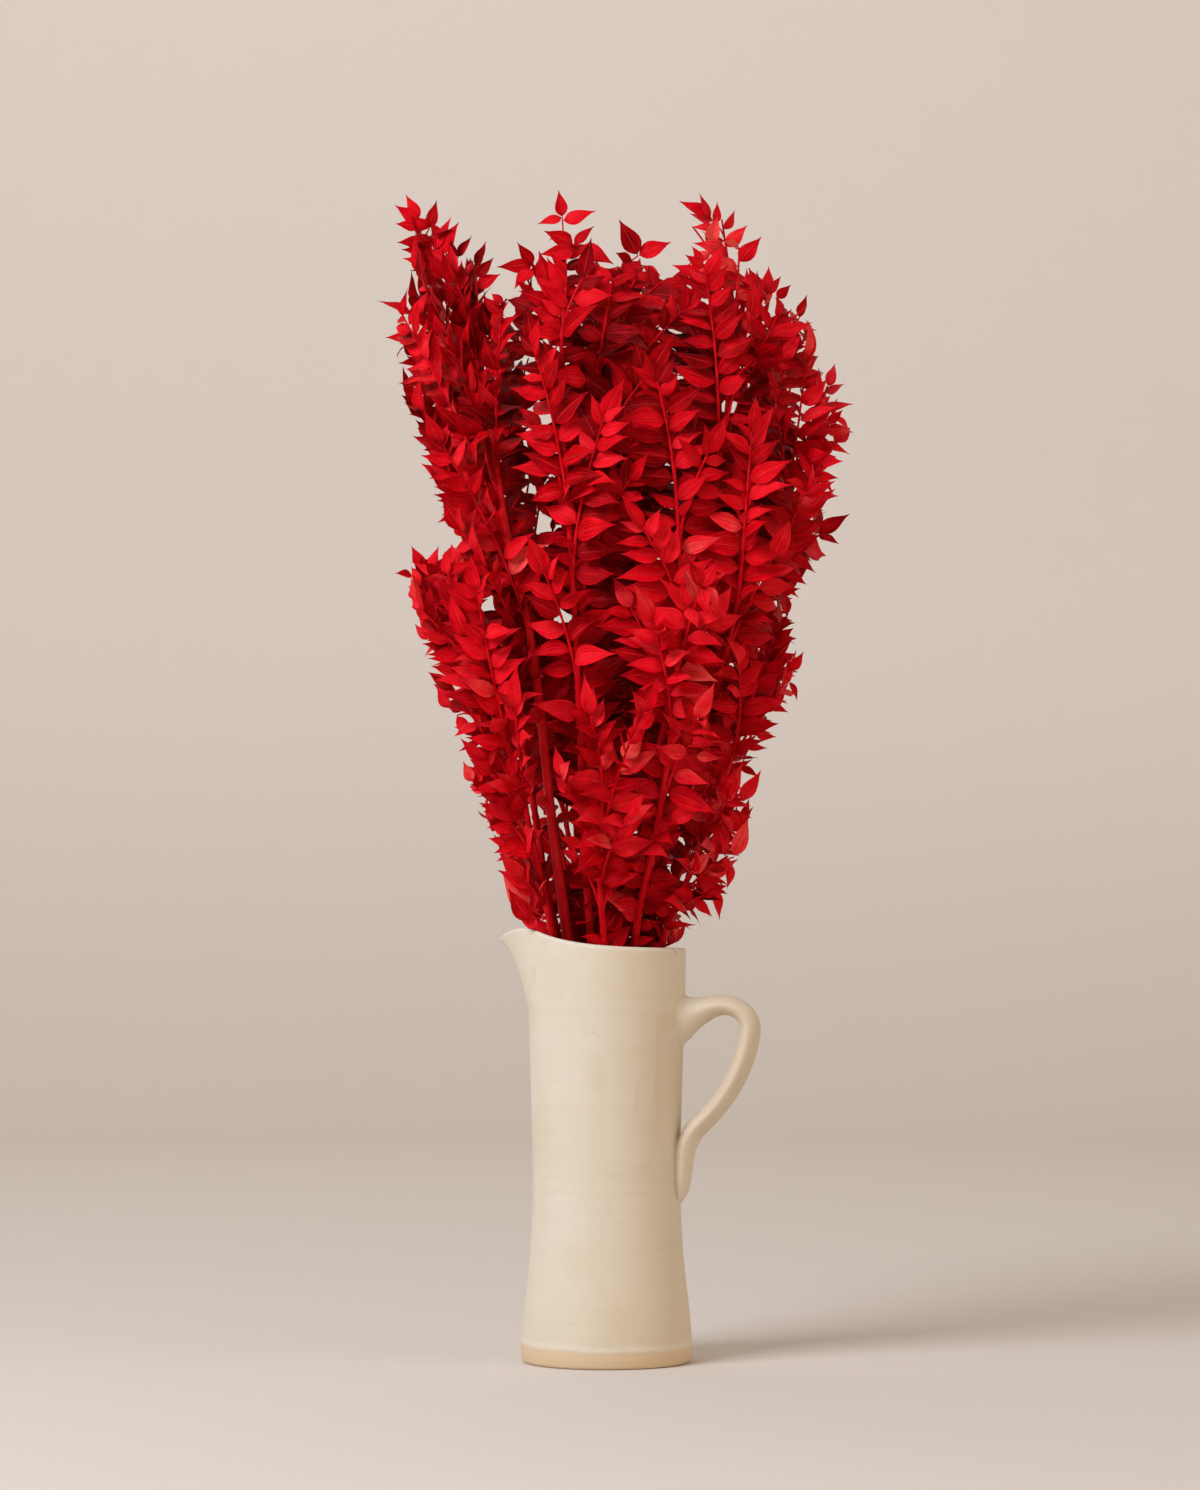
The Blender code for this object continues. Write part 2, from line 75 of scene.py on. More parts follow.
# Camera: how far it stands from the jug's middle line, to which side and how high. Then its picture's
# long side, its focal length and how far its horizon lies below the middle, in pixels.
CAMERA_DISTANCE = 2.598
CAMERA_ASIDE = -0.0046
CAMERA_HEIGHT = 0.278
LONG_SIDE = 1490
FOCUS_PIXELS = 3711
HORIZON_BELOW_MIDDLE = 215
LOOK_UP = math.atan(HORIZON_BELOW_MIDDLE / FOCUS_PIXELS)
SENSOR = 36

# How far below the jug's foot the floor lies.
FLOOR_GAP = 0.0002

# Jug body: radius at each height of the outside, from the rim down to the foot.
RIM_HEIGHT = 0.2862
OUTSIDE = [
    (0.0556, 0.2835),
    (0.0553, 0.2700),
    (0.0551, 0.2540),
    (0.0538, 0.2200),
    (0.0527, 0.1880),
    (0.0518, 0.1540),
    (0.0515, 0.1200),
    (0.0531, 0.0760),
    (0.0577, 0.0315),
    (0.0595, 0.0115),
    (0.0588, 0.0020),
    (0.0570, 0.0000),
]
WALL = 0.0046
RIM_WALL = 0.0040
WALL_THINS_WITHIN = 0.06
FLOOR = 0.0080
INSIDE_CORNER = 0.0505
CORNER_ROOM = 0.006

# The rim is drawn paler from this far below its edge, and fully from this far below it.
RIM_BAND = (0.0045, 0.0010)

# How finely the body is turned: steps round it, and the height of a row.
JUG_STEPS = 168
JUG_ROW = 0.0024

# Lip: the rim climbs towards -X and is drawn out there into a drooping spout.
RIM_CLIMB = 0.0183
CLIMB_EVEN_SHARE = 0.15
CLIMB_POWER = 3.2
CLIMB_FROM = 0.200
CLIMB_BEND = 1.5
LIP_REACH = 0.0230
LIP_DROOP = 0.0125
LIP_HALF_ANGLE = math.radians(50)
LIP_SHARPNESS = 1.5
LIP_FROM = 0.236
LIP_EARLY_SHARE = 0.68
LIP_EARLY_BEND = 1.4
LIP_LATE_BEND = 7

# Marks of the wheel and the hand: rings on the wall, and a body slightly out of round.
RING_SPACING = 0.0105
RING_HEIGHT = 0.00010
OUT_OF_ROUND = 0.00035

# Marks in the glaze, each at an angle round the jug in degrees and a height: half its breadth and half
# its height in millimetres, and its strength. Then a short crack at the rim: its angle and height at
# either end.
STAINS = [
    (-140, 0.2690, 1.3, 8.0, 0.30), (-52, 0.1830, 3.0, 14.0, 0.16), (-60, 0.1320, 26.0, 2.6, 0.10),
    (-84, 0.2030, 9.0, 16.0, 0.10), (-34, 0.2000, 4.0, 42.0, 0.12), (-96, 0.0720, 16.0, 14.0, 0.10),
    (-28, 0.2350, 14.0, 7.0, 0.10),
]
CRACK = ((-20.0, 0.2868), (-13.5, 0.2805))
CRACK_HALF = 0.00040

# Handle: its middle line in the XZ plane as (x, z), then half its thickness in that plane and half
# its breadth along Y. It starts inside the wall under the rim and ends as a tail pressed on the body.
HANDLE_WAY = [
    (0.0516, 0.2396, 0.0258, 0.0165),
    (0.0566, 0.2398, 0.0174, 0.0134),
    (0.0622, 0.2412, 0.0122, 0.0112),
    (0.0700, 0.2437, 0.0092, 0.0102),
    (0.0775, 0.2462, 0.0077, 0.0098),
    (0.0845, 0.2470, 0.0072, 0.0098),
    (0.0918, 0.2455, 0.0070, 0.0099),
    (0.0984, 0.2410, 0.0070, 0.0100),
    (0.1026, 0.2335, 0.0071, 0.0102),
    (0.1020, 0.2225, 0.0071, 0.0104),
    (0.0962, 0.2040, 0.0071, 0.0106),
    (0.0857, 0.1850, 0.0071, 0.0108),
    (0.0738, 0.1706, 0.0071, 0.0110),
    (0.0632, 0.1602, 0.0074, 0.0112),
    (0.0572, 0.1490, 0.0072, 0.0114),
    (0.0552, 0.1340, 0.0064, 0.0114),
    (0.0545, 0.1210, 0.0050, 0.0098),
    (0.0525, 0.1110, 0.0022, 0.0060),
]
HANDLE_SIDES = 32
HANDLE_RING = 0.0022

# Its section has a soft ridge in the middle of each broad side, where a squareness of 2 would be an oval.
INNER_SQUARENESS, OUTER_SQUARENESS = 1.65, 1.55

# How far from the body's joint with it the clay is smoothed, and in how many rounds.
JOINT_REACH = 0.0080
JOINT_ROUNDS = 24

# Stems: half their thickness, their way from the jug's mouth to the growing tip, and their side
# shoots, each given by the height at which it leaves the stem and by its own tip. Points are
# (across, away, up) in millimetres, seen from the bunch's front.
STEMS = {
    "stem_01": (
        3.9,
        [(-27, -10, 294), (-38, -35, 376), (-44, -55, 434), (-52, -70, 498), (-67, -75, 565),
         (-79, -70, 640), (-88, -55, 705), (-91, -45, 758)],
        [(545, (-131, -40, 784)), (500, (-141, -60, 722)), (590, (-70, -92, 726)), (440, (-99, -88, 570))],
    ),
    "stem_02": (
        2.6,
        [(-35, 15, 294), (-45, 5, 345), (-53, 0, 400), (-63, 0, 462), (-75, 5, 532), (-90, 10, 603),
         (-108, 15, 674), (-120, 15, 720), (-127, 10, 745)],
        [(470, (-128, -12, 662)), (540, (-96, 42, 768)), (440, (-98, 40, 608))],
    ),
    "stem_03": (
        2.2,
        [(-37, -22, 294), (-46, -40, 338), (-58, -56, 390), (-72, -66, 440), (-88, -72, 490),
         (-104, -70, 525), (-117, -67, 543)],
        [(380, (-99, -38, 478)), (410, (-88, -99, 528)), (345, (-62, -94, 448)), (312, (-74, -38, 400)),
         (300, (-60, -22, 350))],
    ),
    "stem_04": (
        2.6,
        [(-11, -15, 294), (-15, -45, 362), (-18, -70, 430), (-21, -90, 496), (-25, -100, 563),
         (-29, -100, 630), (-31, -92, 692), (-28, -82, 745), (-30, -74, 776)],
        [(640, (-56, -60, 750)), (570, (-50, -116, 692)), (520, (-2, -126, 640)), (450, (-42, -116, 538))],
    ),
    "stem_05": (
        2.8,
        [(-6, 5, 294), (-9, -10, 364), (-13, -30, 446), (-17, -58, 526), (-16, -72, 593), (-10, -76, 656),
         (2, -70, 705), (20, -60, 748)],
        [(685, (12, -45, 764)), (690, (38, -66, 744)), (580, (30, -108, 676)), (510, (15, -116, 600))],
    ),
    "stem_06": (
        2.0,
        [(-2, -38, 294), (-5, -64, 348), (-3, -86, 399), (-11, -98, 443)],
        [(330, (24, -112, 444)), (325, (-31, -90, 402)), (315, (14, -98, 374))],
    ),
    "stem_07": (
        3.0,
        [(13, 10, 294), (24, -5, 364), (40, -30, 439), (57, -55, 513), (72, -68, 587), (83, -68, 661),
         (88, -60, 717), (83, -50, 755), (72, -45, 778)],
        [(580, (66, -90, 752)), (595, (122, -50, 730)), (540, (139, -25, 712)), (650, (107, -30, 745))],
    ),
    "stem_08": (
        2.4,
        [(20, -22, 294), (31, -50, 351), (42, -80, 416), (48, -100, 482), (49, -112, 548),
         (46, -112, 602), (43, -102, 656)],
        [(455, (63, -132, 526)), (415, (30, -128, 503)), (550, (68, -116, 618)), (365, (60, -104, 440))],
    ),
    "stem_09": (
        2.8,
        [(34, 5, 294), (57, 0, 357), (80, -10, 426), (101, -24, 495), (117, -34, 556), (130, -40, 611),
         (142, -40, 645), (154, -30, 677)],
        [(500, (146, -8, 582)), (530, (147, -66, 618)), (450, (125, -50, 516)), (570, (115, -60, 660)),
         (330, (94, 6, 376))],
    ),
    "stem_10": (
        2.2,
        [(40, -13, 294), (57, -20, 336), (73, -32, 380), (89, -42, 425), (100, -47, 458), (117, -44, 505)],
        [(345, (83, -64, 389)), (355, (68, -82, 428)), (410, (90, -84, 476)), (306, (70, -6, 336))],
    ),
    "stem_11": (
        2.5,
        [(30, 18, 294), (44, -8, 364), (64, -48, 431), (82, -78, 490), (90, -96, 530), (89, -100, 594)],
        [(530, (98, -106, 634)), (470, (112, -92, 550)), (490, (110, 10, 600))],
    ),
    "stem_12": (
        2.8,
        [(-22, 30, 294), (-37, 60, 373), (-59, 85, 468), (-81, 104, 571), (-96, 108, 666),
         (-105, 95, 728), (-100, 85, 766)],
        [(470, (-118, 68, 640)), (500, (-62, 130, 700)), (400, (-104, 88, 528)), (560, (-60, 60, 740))],
    ),
    "stem_13": (
        2.8,
        [(0, 30, 294), (-3, 70, 375), (-1, 108, 480), (3, 128, 585), (5, 125, 670), (8, 108, 735),
         (12, 95, 772)],
        [(540, (50, 142, 655)), (510, (-38, 145, 615)), (620, (48, 92, 765)), (440, (5, 60, 640))],
    ),
    "stem_14": (
        2.8,
        [(24, 33, 294), (35, 60, 373), (63, 90, 468), (88, 110, 565), (105, 110, 655), (111, 92, 718),
         (107, 78, 753)],
        [(500, (150, 58, 652)), (540, (68, 132, 710)), (430, (135, 98, 560)), (560, (60, 40, 720))],
    ),
    "stem_15": (
        2.2,
        [(-14, 41, 294), (-26, 88, 360), (-38, 116, 425), (-44, 130, 480), (-47, 132, 530)],
        [(380, (-86, 108, 450)), (400, (-12, 146, 452))],
    ),
    "stem_16": (
        2.2,
        [(8, 42, 294), (14, 90, 360), (25, 118, 425), (40, 132, 490), (48, 130, 545)],
        [(370, (86, 102, 460)), (410, (14, 148, 475))],
    ),
}

# Rods: how each stem's cut foot stands on the jug's floor, turned on from where the stem leaves the
# mouth and nearer to the middle; then the rods' half thicknesses in millimetres, and their fineness.
FOOT_TURN = math.radians(120)
FOOT_SHARE = 0.9
FOOT_LENGTH = 0.006
FOOT_GAP = 0.0004
TIP_HALF = 0.75
SHOOT_HALF = 1.25
SHOOT_TIP_HALF = 0.55
SHOOT_STEPS = 12
SHOOT_FOLLOWS = 0.42
ROD_RING = 0.0026
STEM_SIDES = 12
SHOOT_SIDES = 8

# A rod swells a little where a leaf stands. For the test of what crosses it, it is cut into coarse
# pieces of this many of its points, taken in steps.
KNOT_SWELL = 0.28
KNOT_LENGTH = 0.0016
TESTED_PIECE = 8
TESTED_STEP = 4
TESTED_SIDES = 4

# Twigs too slight for the solids, which fill out the bunch: for each stem, as its side shoots above.
TWIGS = {
    "stem_01": [
        (600, (-112, -50, 770)), (640, (-104, -62, 748)), (470, (-112, -86, 628)),
        (560, (-128, -56, 752)), (520, (-124, -30, 694)), (480, (-44, -20, 610)), (420, (-46, 6, 540)),
        (640, (-122, -48, 776)), (620, (-78, -60, 726)),
    ],
    "stem_02": [
        (600, (-138, -6, 712)), (650, (-112, -10, 752)), (530, (-134, 26, 676)), (440, (-70, 36, 580)),
        (660, (-132, 6, 742)), (430, (-126, -20, 545)), (300, (-60, 6, 346)),
    ],
    "stem_03": [
        (400, (-124, -58, 512)), (360, (-112, -60, 470)), (450, (-108, -88, 540)), (300, (-58, -44, 336)),
        (330, (-84, -62, 414)), (420, (-118, -44, 500)), (470, (-100, -64, 545)), (460, (-128, -62, 536)),
        (480, (-122, -52, 552)), (450, (-134, -66, 526)), (470, (-112, -76, 554)),
        (430, (-128, -80, 518)), (400, (-96, -84, 500)), (330, (-92, -50, 400)), (300, (-82, -44, 376)),
    ],
    "stem_04": [
        (690, (-42, -70, 744)), (700, (-16, -84, 744)), (560, (-44, -100, 640)),
    ],
    "stem_05": [
        (600, (52, -80, 722)), (650, (4, -92, 742)), (540, (18, -100, 632)), (480, (-14, -10, 610)),
        (600, (6, -20, 730)), (640, (-8, -50, 742)), (400, (-10, 24, 540)), (500, (2, 24, 680)),
    ],
    "stem_06": [
        (300, (44, -70, 372)), (300, (-24, -62, 356)),
    ],
    "stem_07": [
        (700, (92, -54, 770)), (720, (60, -46, 786)), (560, (120, -62, 690)), (590, (134, -36, 724)),
        (600, (98, -84, 716)), (560, (58, -96, 640)), (500, (40, -6, 640)), (620, (52, -10, 730)),
        (420, (62, 14, 560)), (730, (80, -44, 792)), (640, (138, -44, 730)), (650, (66, -52, 748)),
    ],
    "stem_08": [
        (500, (24, -128, 566)), (590, (34, -112, 668)), (440, (70, -116, 506)), (420, (16, -96, 516)),
    ],
    "stem_09": [
        (530, (138, -50, 692)), (480, (128, -62, 560)), (560, (148, -38, 668)), (420, (112, -48, 484)),
        (520, (136, -82, 598)), (420, (104, 22, 560)), (360, (84, 24, 470)), (600, (159, -36, 656)),
        (320, (86, 16, 370)), (560, (160, -20, 640)), (600, (165, -32, 640)),
    ],
    "stem_10": [
        (400, (124, -40, 470)), (306, (84, -30, 350)), (300, (66, -34, 322)), (340, (92, -50, 388)),
        (300, (58, -52, 340)),
    ],
    "stem_11": [
        (430, (102, -72, 520)), (360, (84, -50, 436)), (500, (50, -20, 620)), (340, (76, -60, 400)),
    ],
    "stem_12": [
        (400, (-62, 110, 560)), (600, (-118, 60, 732)), (380, (-50, 40, 520)), (460, (-52, 40, 640)),
        (540, (-56, 50, 710)), (430, (-76, 50, 566)), (420, (-34, 34, 600)), (480, (-76, 34, 690)),
        (430, (-122, 30, 542)),
    ],
    "stem_13": [
        (560, (-20, 100, 690)), (600, (30, 60, 752)), (380, (4, 40, 520)), (460, (-10, 30, 620)),
        (540, (10, 40, 700)), (500, (26, 60, 650)), (480, (10, 138, 600)), (560, (-14, 130, 680)),
        (600, (-24, 60, 752)), (420, (32, 80, 580)), (500, (34, 60, 640)), (440, (-30, 36, 570)),
        (500, (-34, 30, 670)), (400, (22, 50, 520)),
    ],
    "stem_14": [
        (400, (118, 60, 500)), (600, (96, 40, 752)), (380, (50, 40, 500)), (460, (60, 40, 620)),
        (540, (66, 40, 700)), (560, (50, 30, 712)), (560, (124, 60, 688)), (620, (84, 30, 758)),
        (500, (138, 36, 612)), (420, (36, 30, 600)), (500, (30, 30, 690)), (460, (96, 30, 660)),
        (560, (138, 40, 700)), (520, (126, 20, 640)), (340, (86, 50, 420)), (640, (116, 30, 756)),
    ],
    "stem_15": [
        (350, (-70, 70, 410)), (330, (-56, 44, 376)), (360, (-24, 60, 440)), (320, (-24, 26, 420)),
        (300, (-46, 30, 350)),
    ],
    "stem_16": [
        (340, (84, 60, 410)), (360, (20, 60, 450)), (400, (30, 90, 555)), (330, (30, 30, 440)),
        (320, (66, 40, 384)), (300, (56, 30, 340)),
    ],
}

# Leaves: where they stand on a rod, closer together towards its tip, and none below a height.
LEAF_SPACING = 0.0060
TIP_CROWDS = 1.2
BARE_BELOW = 0.279

# How they turn, in degrees: how far they open at the rod's tip, and how much each turn varies. Their
# faces look out of the bunch, and this much to its front or back, and up.
LEAF_CLOSES = 40
OPENS_WITHIN = 7
SWINGS_WITHIN = 10
SWING_STEP = 10
TILTS_WITHIN = 9
FACE_FORWARD = 0.55
FACE_UP = 0.62
RANKS_WITHIN = 22
RANKS_WITHIN_AT_SIDES = 70
MIDDLE_RADIUS = 0.02

# The leaf at a rod's tip: how deep its root sits, its size and its lean.
TIP_SUNK = 0.001
TIP_SIZES = (0.74, 0.92)
TIP_LEANS = 0.06

# How often a leaf that isn't free is turned and tried again, and how much it shrinks each time.
TRIES = 12
TRY_SHRINKS = 0.035
SEED = 21

# Each stem's habit: how far its leaves open at the base, how far its ranks turn by the tip, and how
# unruly its leaves are.
HABITS = {
    "stem_01": (60, 80, 1.5), "stem_02": (64, 90, 1.5), "stem_03": (60, 120, 1.6), "stem_04": (80, 30, 1.15),
    "stem_05": (81, 25, 1.15), "stem_06": (80, 40, 1.0), "stem_07": (76, 60, 1.3), "stem_08": (79, 25, 1.1),
    "stem_09": (72, 60, 1.3), "stem_10": (74, 70, 1.5), "stem_11": (78, 40, 1.1),
}
USUAL_HABIT = (82, 60, 1.5)

# One stem is bare up to this height and stands in full view, with no leaf before it within a margin.
BARE_STEM = "stem_01"
BARE_FROM = 0.285
BARE_UNTIL = 0.436
BARE_MARGIN = 4.0
# Painted light on that stem, which stands in the shade of the leaves between it and the lamp.
BARE_PAINTED_LIGHT = 0.19

# The stump of a cut shoot on it, as a side shoot, with half its thickness, and the window before it
# that stays clear: across, up, half width and half height.
STUB = (379, (-45.5, -43, 388))
STUB_HALF = 3.3
STUB_CLEAR = (-46, 388, 6, 9)

# The bunch's edge seen from the front: height, furthest left and furthest right, in millimetres.
EDGE = [
    (290, -60, 58), (301, -66, 68), (312, -70, 76), (322, -73, 87), (341, -79, 94), (363, -87, 100),
    (392, -97, 107), (417, -106, 114), (435, -113, 123), (454, -119, 131), (480, -128, 142),
    (500, -132, 142), (521, -138, 131), (541, -144, 139), (557, -144, 146), (565, -114, 148),
    (576, -108, 153), (588, -118, 156), (606, -125, 163), (623, -131, 168), (650, -141, 175),
    (686, -150, 164), (714, -152, 158), (742, -151, 149), (757, -140, 149), (775, -149, 149),
    (830, -160, 149),
]

# Its top edge from there, under the tips of the leaves that are set one by one: across and height.
TOP_EDGE = [
    (-158, 742), (-150, 768), (-142, 790), (-133, 802), (-124, 800), (-114, 790), (-106, 782), (-98, 774),
    (-88, 770), (-82, 760), (-74, 742), (-66, 742), (-62, 766), (-54, 766), (-48, 776), (-42, 786),
    (-36, 794), (-30, 796), (-24, 790), (-10, 787), (-2, 766), (8, 764), (14, 772), (24, 770), (34, 760),
    (44, 754), (50, 760), (58, 778), (66, 792), (76, 802), (86, 794), (96, 778), (104, 764), (112, 756),
    (122, 744), (130, 734), (143, 730), (150, 694), (160, 684), (168, 656),
]

# How far inside its side edges the leaves that grow by chance stay.
EDGE_INSET = 2.5

# Leaves that show plainly from the front, set first: for each stem the leaf's root and tip, as
# (across, up, across, up) in millimetres on the jug's own plane.
SHOWN_LEAVES = {
    "stem_01": [
        (-131, 797, -141, 814), (-129, 794, -148, 807), (-127, 793, -148, 793), (-124, 790, -119, 810),
        (-122, 781, -147, 781), (-117, 777, -109, 799), (-117, 772, -144, 775), (-116, 773, -104, 795),
        (-116, 764, -143, 770), (-104, 770, -109, 782), (-101, 771, -94, 785), (-95, 765, -85, 782),
        (-92, 755, -79, 770), (-90, 749, -74, 759), (-83, 728, -68, 739), (-85, 719, -65, 725),
        (-125, 791, -138, 799), (-121, 785, -107, 790), (-120, 783, -135, 786), (-118, 775, -106, 781),
    ],
    "stem_02": [
        (-136, 730, -160, 740), (-133, 712, -155, 714), (-127, 686, -146, 681), (-122, 664, -143, 673),
        (-102, 589, -119, 585), (-95, 594, -111, 605), (-99, 600, -119, 600), (-124, 696, -146, 696),
        (-116, 646, -134, 657), (-110, 625, -126, 637), (-108, 614, -130, 625), (-95, 686, -116, 694),
    ],
    "stem_03": [
        (-128, 552, -137, 568), (-124, 550, -118, 568), (-136, 547, -141, 548), (-108, 546, -106, 561),
        (-115, 548, -111, 562), (-102, 542, -95, 557), (-127, 547, -130, 559), (-128, 535, -139, 538),
        (-96, 531, -87, 539), (-94, 523, -84, 531), (-124, 520, -136, 525), (-122, 518, -111, 509),
        (-118, 534, -114, 548), (-104, 534, -102, 549), (-125, 502, -133, 511), (-98, 514, -87, 520),
        (-112, 471, -125, 480), (-110, 454, -120, 468), (-105, 449, -93, 433), (-91, 405, -101, 417),
        (-83, 399, -93, 401), (-76, 379, -85, 382), (-70, 359, -83, 363), (-57, 358, -51, 371),
        (-55, 312, -73, 341), (-54, 305, -69, 328), (-52, 336, -69, 346), (-50, 336, -40, 349),
        (-74, 402, -98, 413), (-70, 390, -92, 397), (-66, 378, -88, 386), (-63, 370, -84, 371),
        (-58, 360, -79, 353), (-122, 528, -130, 549), (-118, 524, -129, 536), (-110, 506, -119, 524),
        (-48, 301, -63, 313), (-46, 306, -66, 319), (-46, 312, -61, 333), (-50, 324, -69, 335),
        (-90, 442, -107, 435), (-88, 431, -104, 423),
    ],
    "stem_04": [
        (-51, 765, -63, 780), (-52, 764, -77, 763), (-52, 763, -65, 748), (-31, 798, -34, 817),
        (-28, 795, -8, 804), (-30, 798, -49, 793), (-23, 779, -9, 793), (-25, 782, -44, 789),
        (-22, 774, -48, 772), (-19, 778, 5, 765), (-27, 729, -27, 715), (-13, 684, -41, 689),
    ],
    "stem_05": [
        (22, 771, 9, 797), (23, 770, 45, 782), (26, 764, 37, 758), (16, 769, 6, 773),
    ],
    "stem_06": [
        (-4, 380, -27, 386), (-5, 364, 23, 366), (-6, 350, 17, 349), (-17, 359, -33, 363),
        (-17, 351, -33, 355), (-5, 321, -13, 330), (-6, 391, -35, 394), (-8, 401, -34, 403),
    ],
    "stem_07": [
        (73, 797, 51, 810), (71, 800, 65, 815), (77, 794, 77, 809), (82, 789, 90, 803), (75, 795, 58, 801),
        (79, 790, 59, 791), (86, 778, 98, 793), (83, 781, 64, 778), (95, 765, 108, 785), (91, 764, 71, 765),
        (85, 762, 102, 750), (66, 764, 62, 774), (65, 761, 55, 772), (64, 756, 46, 766), (63, 750, 48, 759),
        (62, 744, 42, 750), (112, 744, 114, 764), (113, 747, 122, 757), (119, 741, 129, 751),
        (135, 728, 141, 744), (136, 721, 148, 719), (131, 700, 144, 699), (133, 682, 152, 689),
    ],
    "stem_08": [
        (65, 542, 58, 559), (67, 542, 78, 558), (57, 525, 52, 543), (65, 538, 71, 519), (71, 540, 79, 523),
        (58, 525, 64, 511), (57, 422, 34, 427), (60, 429, 52, 440), (62, 421, 81, 419), (40, 400, 59, 399),
        (38, 380, 58, 392), (33, 374, 18, 373), (37, 356, 53, 368), (22, 312, 45, 319), (23, 300, 38, 305),
        (16, 291, 34, 294), (20, 305, 6, 319),
    ],
    "stem_09": [
        (156, 680, 160, 696), (156, 675, 166, 681), (155, 655, 165, 664), (155, 648, 173, 648),
        (149, 625, 166, 627), (148, 615, 163, 616), (145, 600, 162, 604), (148, 577, 170, 591),
        (149, 579, 163, 569), (135, 571, 151, 561), (128, 561, 147, 550), (123, 552, 140, 541),
        (119, 544, 135, 532), (123, 621, 147, 600), (120, 503, 130, 510), (118, 499, 133, 504),
        (129, 480, 138, 494), (128, 473, 132, 464), (113, 456, 127, 452), (104, 445, 116, 442),
        (104, 436, 119, 434), (97, 427, 113, 426), (94, 413, 105, 407), (81, 398, 96, 399),
        (81, 387, 96, 392), (80, 373, 101, 382), (44, 312, 50, 291), (43, 302, 56, 297),
        (56, 320, 67, 301), (60, 324, 73, 308), (48, 312, 60, 298), (45, 289, 57, 304), (42, 290, 49, 307),
        (150, 640, 171, 633), (152, 662, 173, 668),
    ],
    "stem_10": [
        (66, 354, 59, 372), (66, 347, 48, 349), (71, 355, 88, 358), (60, 321, 44, 329), (62, 319, 74, 308),
        (75, 328, 80, 306), (89, 350, 100, 378), (88, 345, 85, 328),
    ],
}

# Those leaves' least and greatest length, half their breadth as a share of it, and how far they turn to
# the front and lie flatter than the rest. Their depth is the rod's, a little nearer, and varies more
# with each try.
SHOWN_LENGTHS = (0.015, 0.043)
SHOWN_SLACK = 1.01
SHOWN_HALF_SHARE = 0.230
SHOWN_FORWARD = 0.9
SHOWN_FLATTER = 0.7
SHOWN_NEARER = -3
SHOWN_DEPTH_WITHIN, SHOWN_DEPTH_GROWS = 4, 2
SHOWN_BENDS = 3
SHOWN_BENDS_WITHIN = (5, 9)
SHOWN_TILTS_WITHIN = 13

# No other leaf grows this near to one of them on the same rod. A root this far from every rod, in
# millimetres, gets a slight twig of its own.
SHOWN_APART = 0.0045
TIP_TAKEN = 0.007
SHOWN_TWIG_FROM = 4.0
TWIG_RUNS_BACK = 6
TWIG_HALVES = (0.70, 0.50)

# How far past the solids' box a leaf may reach, and how far it stays inside the jug's rim until it is
# this far above it.
BOX_MARGIN = 0.006
RIM_BESIDE = 0.002
RIM_ABOVE = 0.003

# High on the left and in the middle the bunch stands nearer to the lamp, so painted shade darkens its leaves
# there.
HIGH_PAINTED_SHADE = 0.09
HIGH_FROM, HIGH_TO = 560, 700
HIGH_LEFT_OF = (100, 30)

# Low down, in the shade of the leaves above, painted light makes the leaves lighter.
LOW_PAINTED_LIGHT = 0.14
LOW_FROM, LOW_TO = 500, 380

# Where the light shows through between the stems, seen from the front: (across, up, half width,
# half height) in millimetres.
SEE_THROUGH = [
    (-54, 695, 4, 8), (-68, 745, 4, 4), (-69, 733, 3, 3), (-43, 658, 2, 7), (-41, 637, 2, 5),
    (-55, 607, 3, 3), (-45, 583, 4, 7), (-82, 527, 3, 9), (-29, 518, 3, 6), (-31, 623, 2, 4),
    (-41, 540, 2, 3), (-29, 387, 4, 6), (-27, 368, 5, 6), (-27, 350, 5, 7), (-52, 379, 3, 10),
    (-44.5, 353, 1.5, 11), (51, 360, 3, 5), (55, 336, 5, 3), (86, 665, 4, 4), (-62, 416, 2, 3),
    (-32, 696, 2, 4),
]

# Tips drawn lighter, as (across, up, reach, how much lighter).
PALE_TIPS = [
    (80, 782, 30, 0.60), (158, 652, 20, 0.38), (-108, 690, 14, 0.28), (66, 548, 16, 0.34),
    (-26, 727, 10, 0.40), (66, 520, 14, 0.30),
]

# Leaves deep inside the bunch are darkened with painted shade: how much darker they are, the share
# of the bunch's radius where that begins and ends, and how far below its top edge.
INSIDE_PAINTED_SHADE = 0.40
INSIDE_FROM, INSIDE_TO = 0.88, 0.45
INSIDE_BELOW_TOP = (10, 90)

# Leaves: their size and form, each as a range or as a middle and a spread. Bends are in degrees.
LEAF_LENGTH = 0.0352
LEAF_HALF_WIDTH = 0.0084
LEAF_SIZES = (0.80, 1.14)
LENGTHS, HALF_WIDTHS = (0.95, 1.06), (0.88, 1.12)
DROOPS, CURLS, TWISTS = (10, 14), (8, 16), (0, 16)
FOLDS, CUPS, WAVES, SKEWS = (0.10, 0.58), (-0.08, 0.18), (0, 0.05), (0, 0.035)
TONES, PALE_GAINS, PALE_TONES = (0.46, 0.15), (0.6, 1.2), (0.2, 0.4)
PALE_SHARE = 0.012
LEAST_TONE = 0.24
TIP_SHRINKS = 0.34
TIP_NARROWS = 0.16

# Its outline: a short stalk, a full base and a drawn-out tip. Its lines of points along and across.
PETIOLE_SHARE = 0.045
PETIOLE_HALF = 0.00045
BASE_FULLNESS = 0.82
TIP_DRAWN = 1.74
WIDEST_AT = BASE_FULLNESS / (BASE_FULLNESS + TIP_DRAWN)
BEND_POINTS = 41
RIPPLES, RIPPLE_HEIGHT = 1.4, 2.2
TWISTS_FROM = 0.15
LEAF_ROWS = (0, 0.045, 0.09, 0.17, 0.28, 0.41, 0.55, 0.70, 0.85, 1.0)
LEAF_COLUMNS = (-1.0, -0.55, 0.0, 0.55, 1.0)

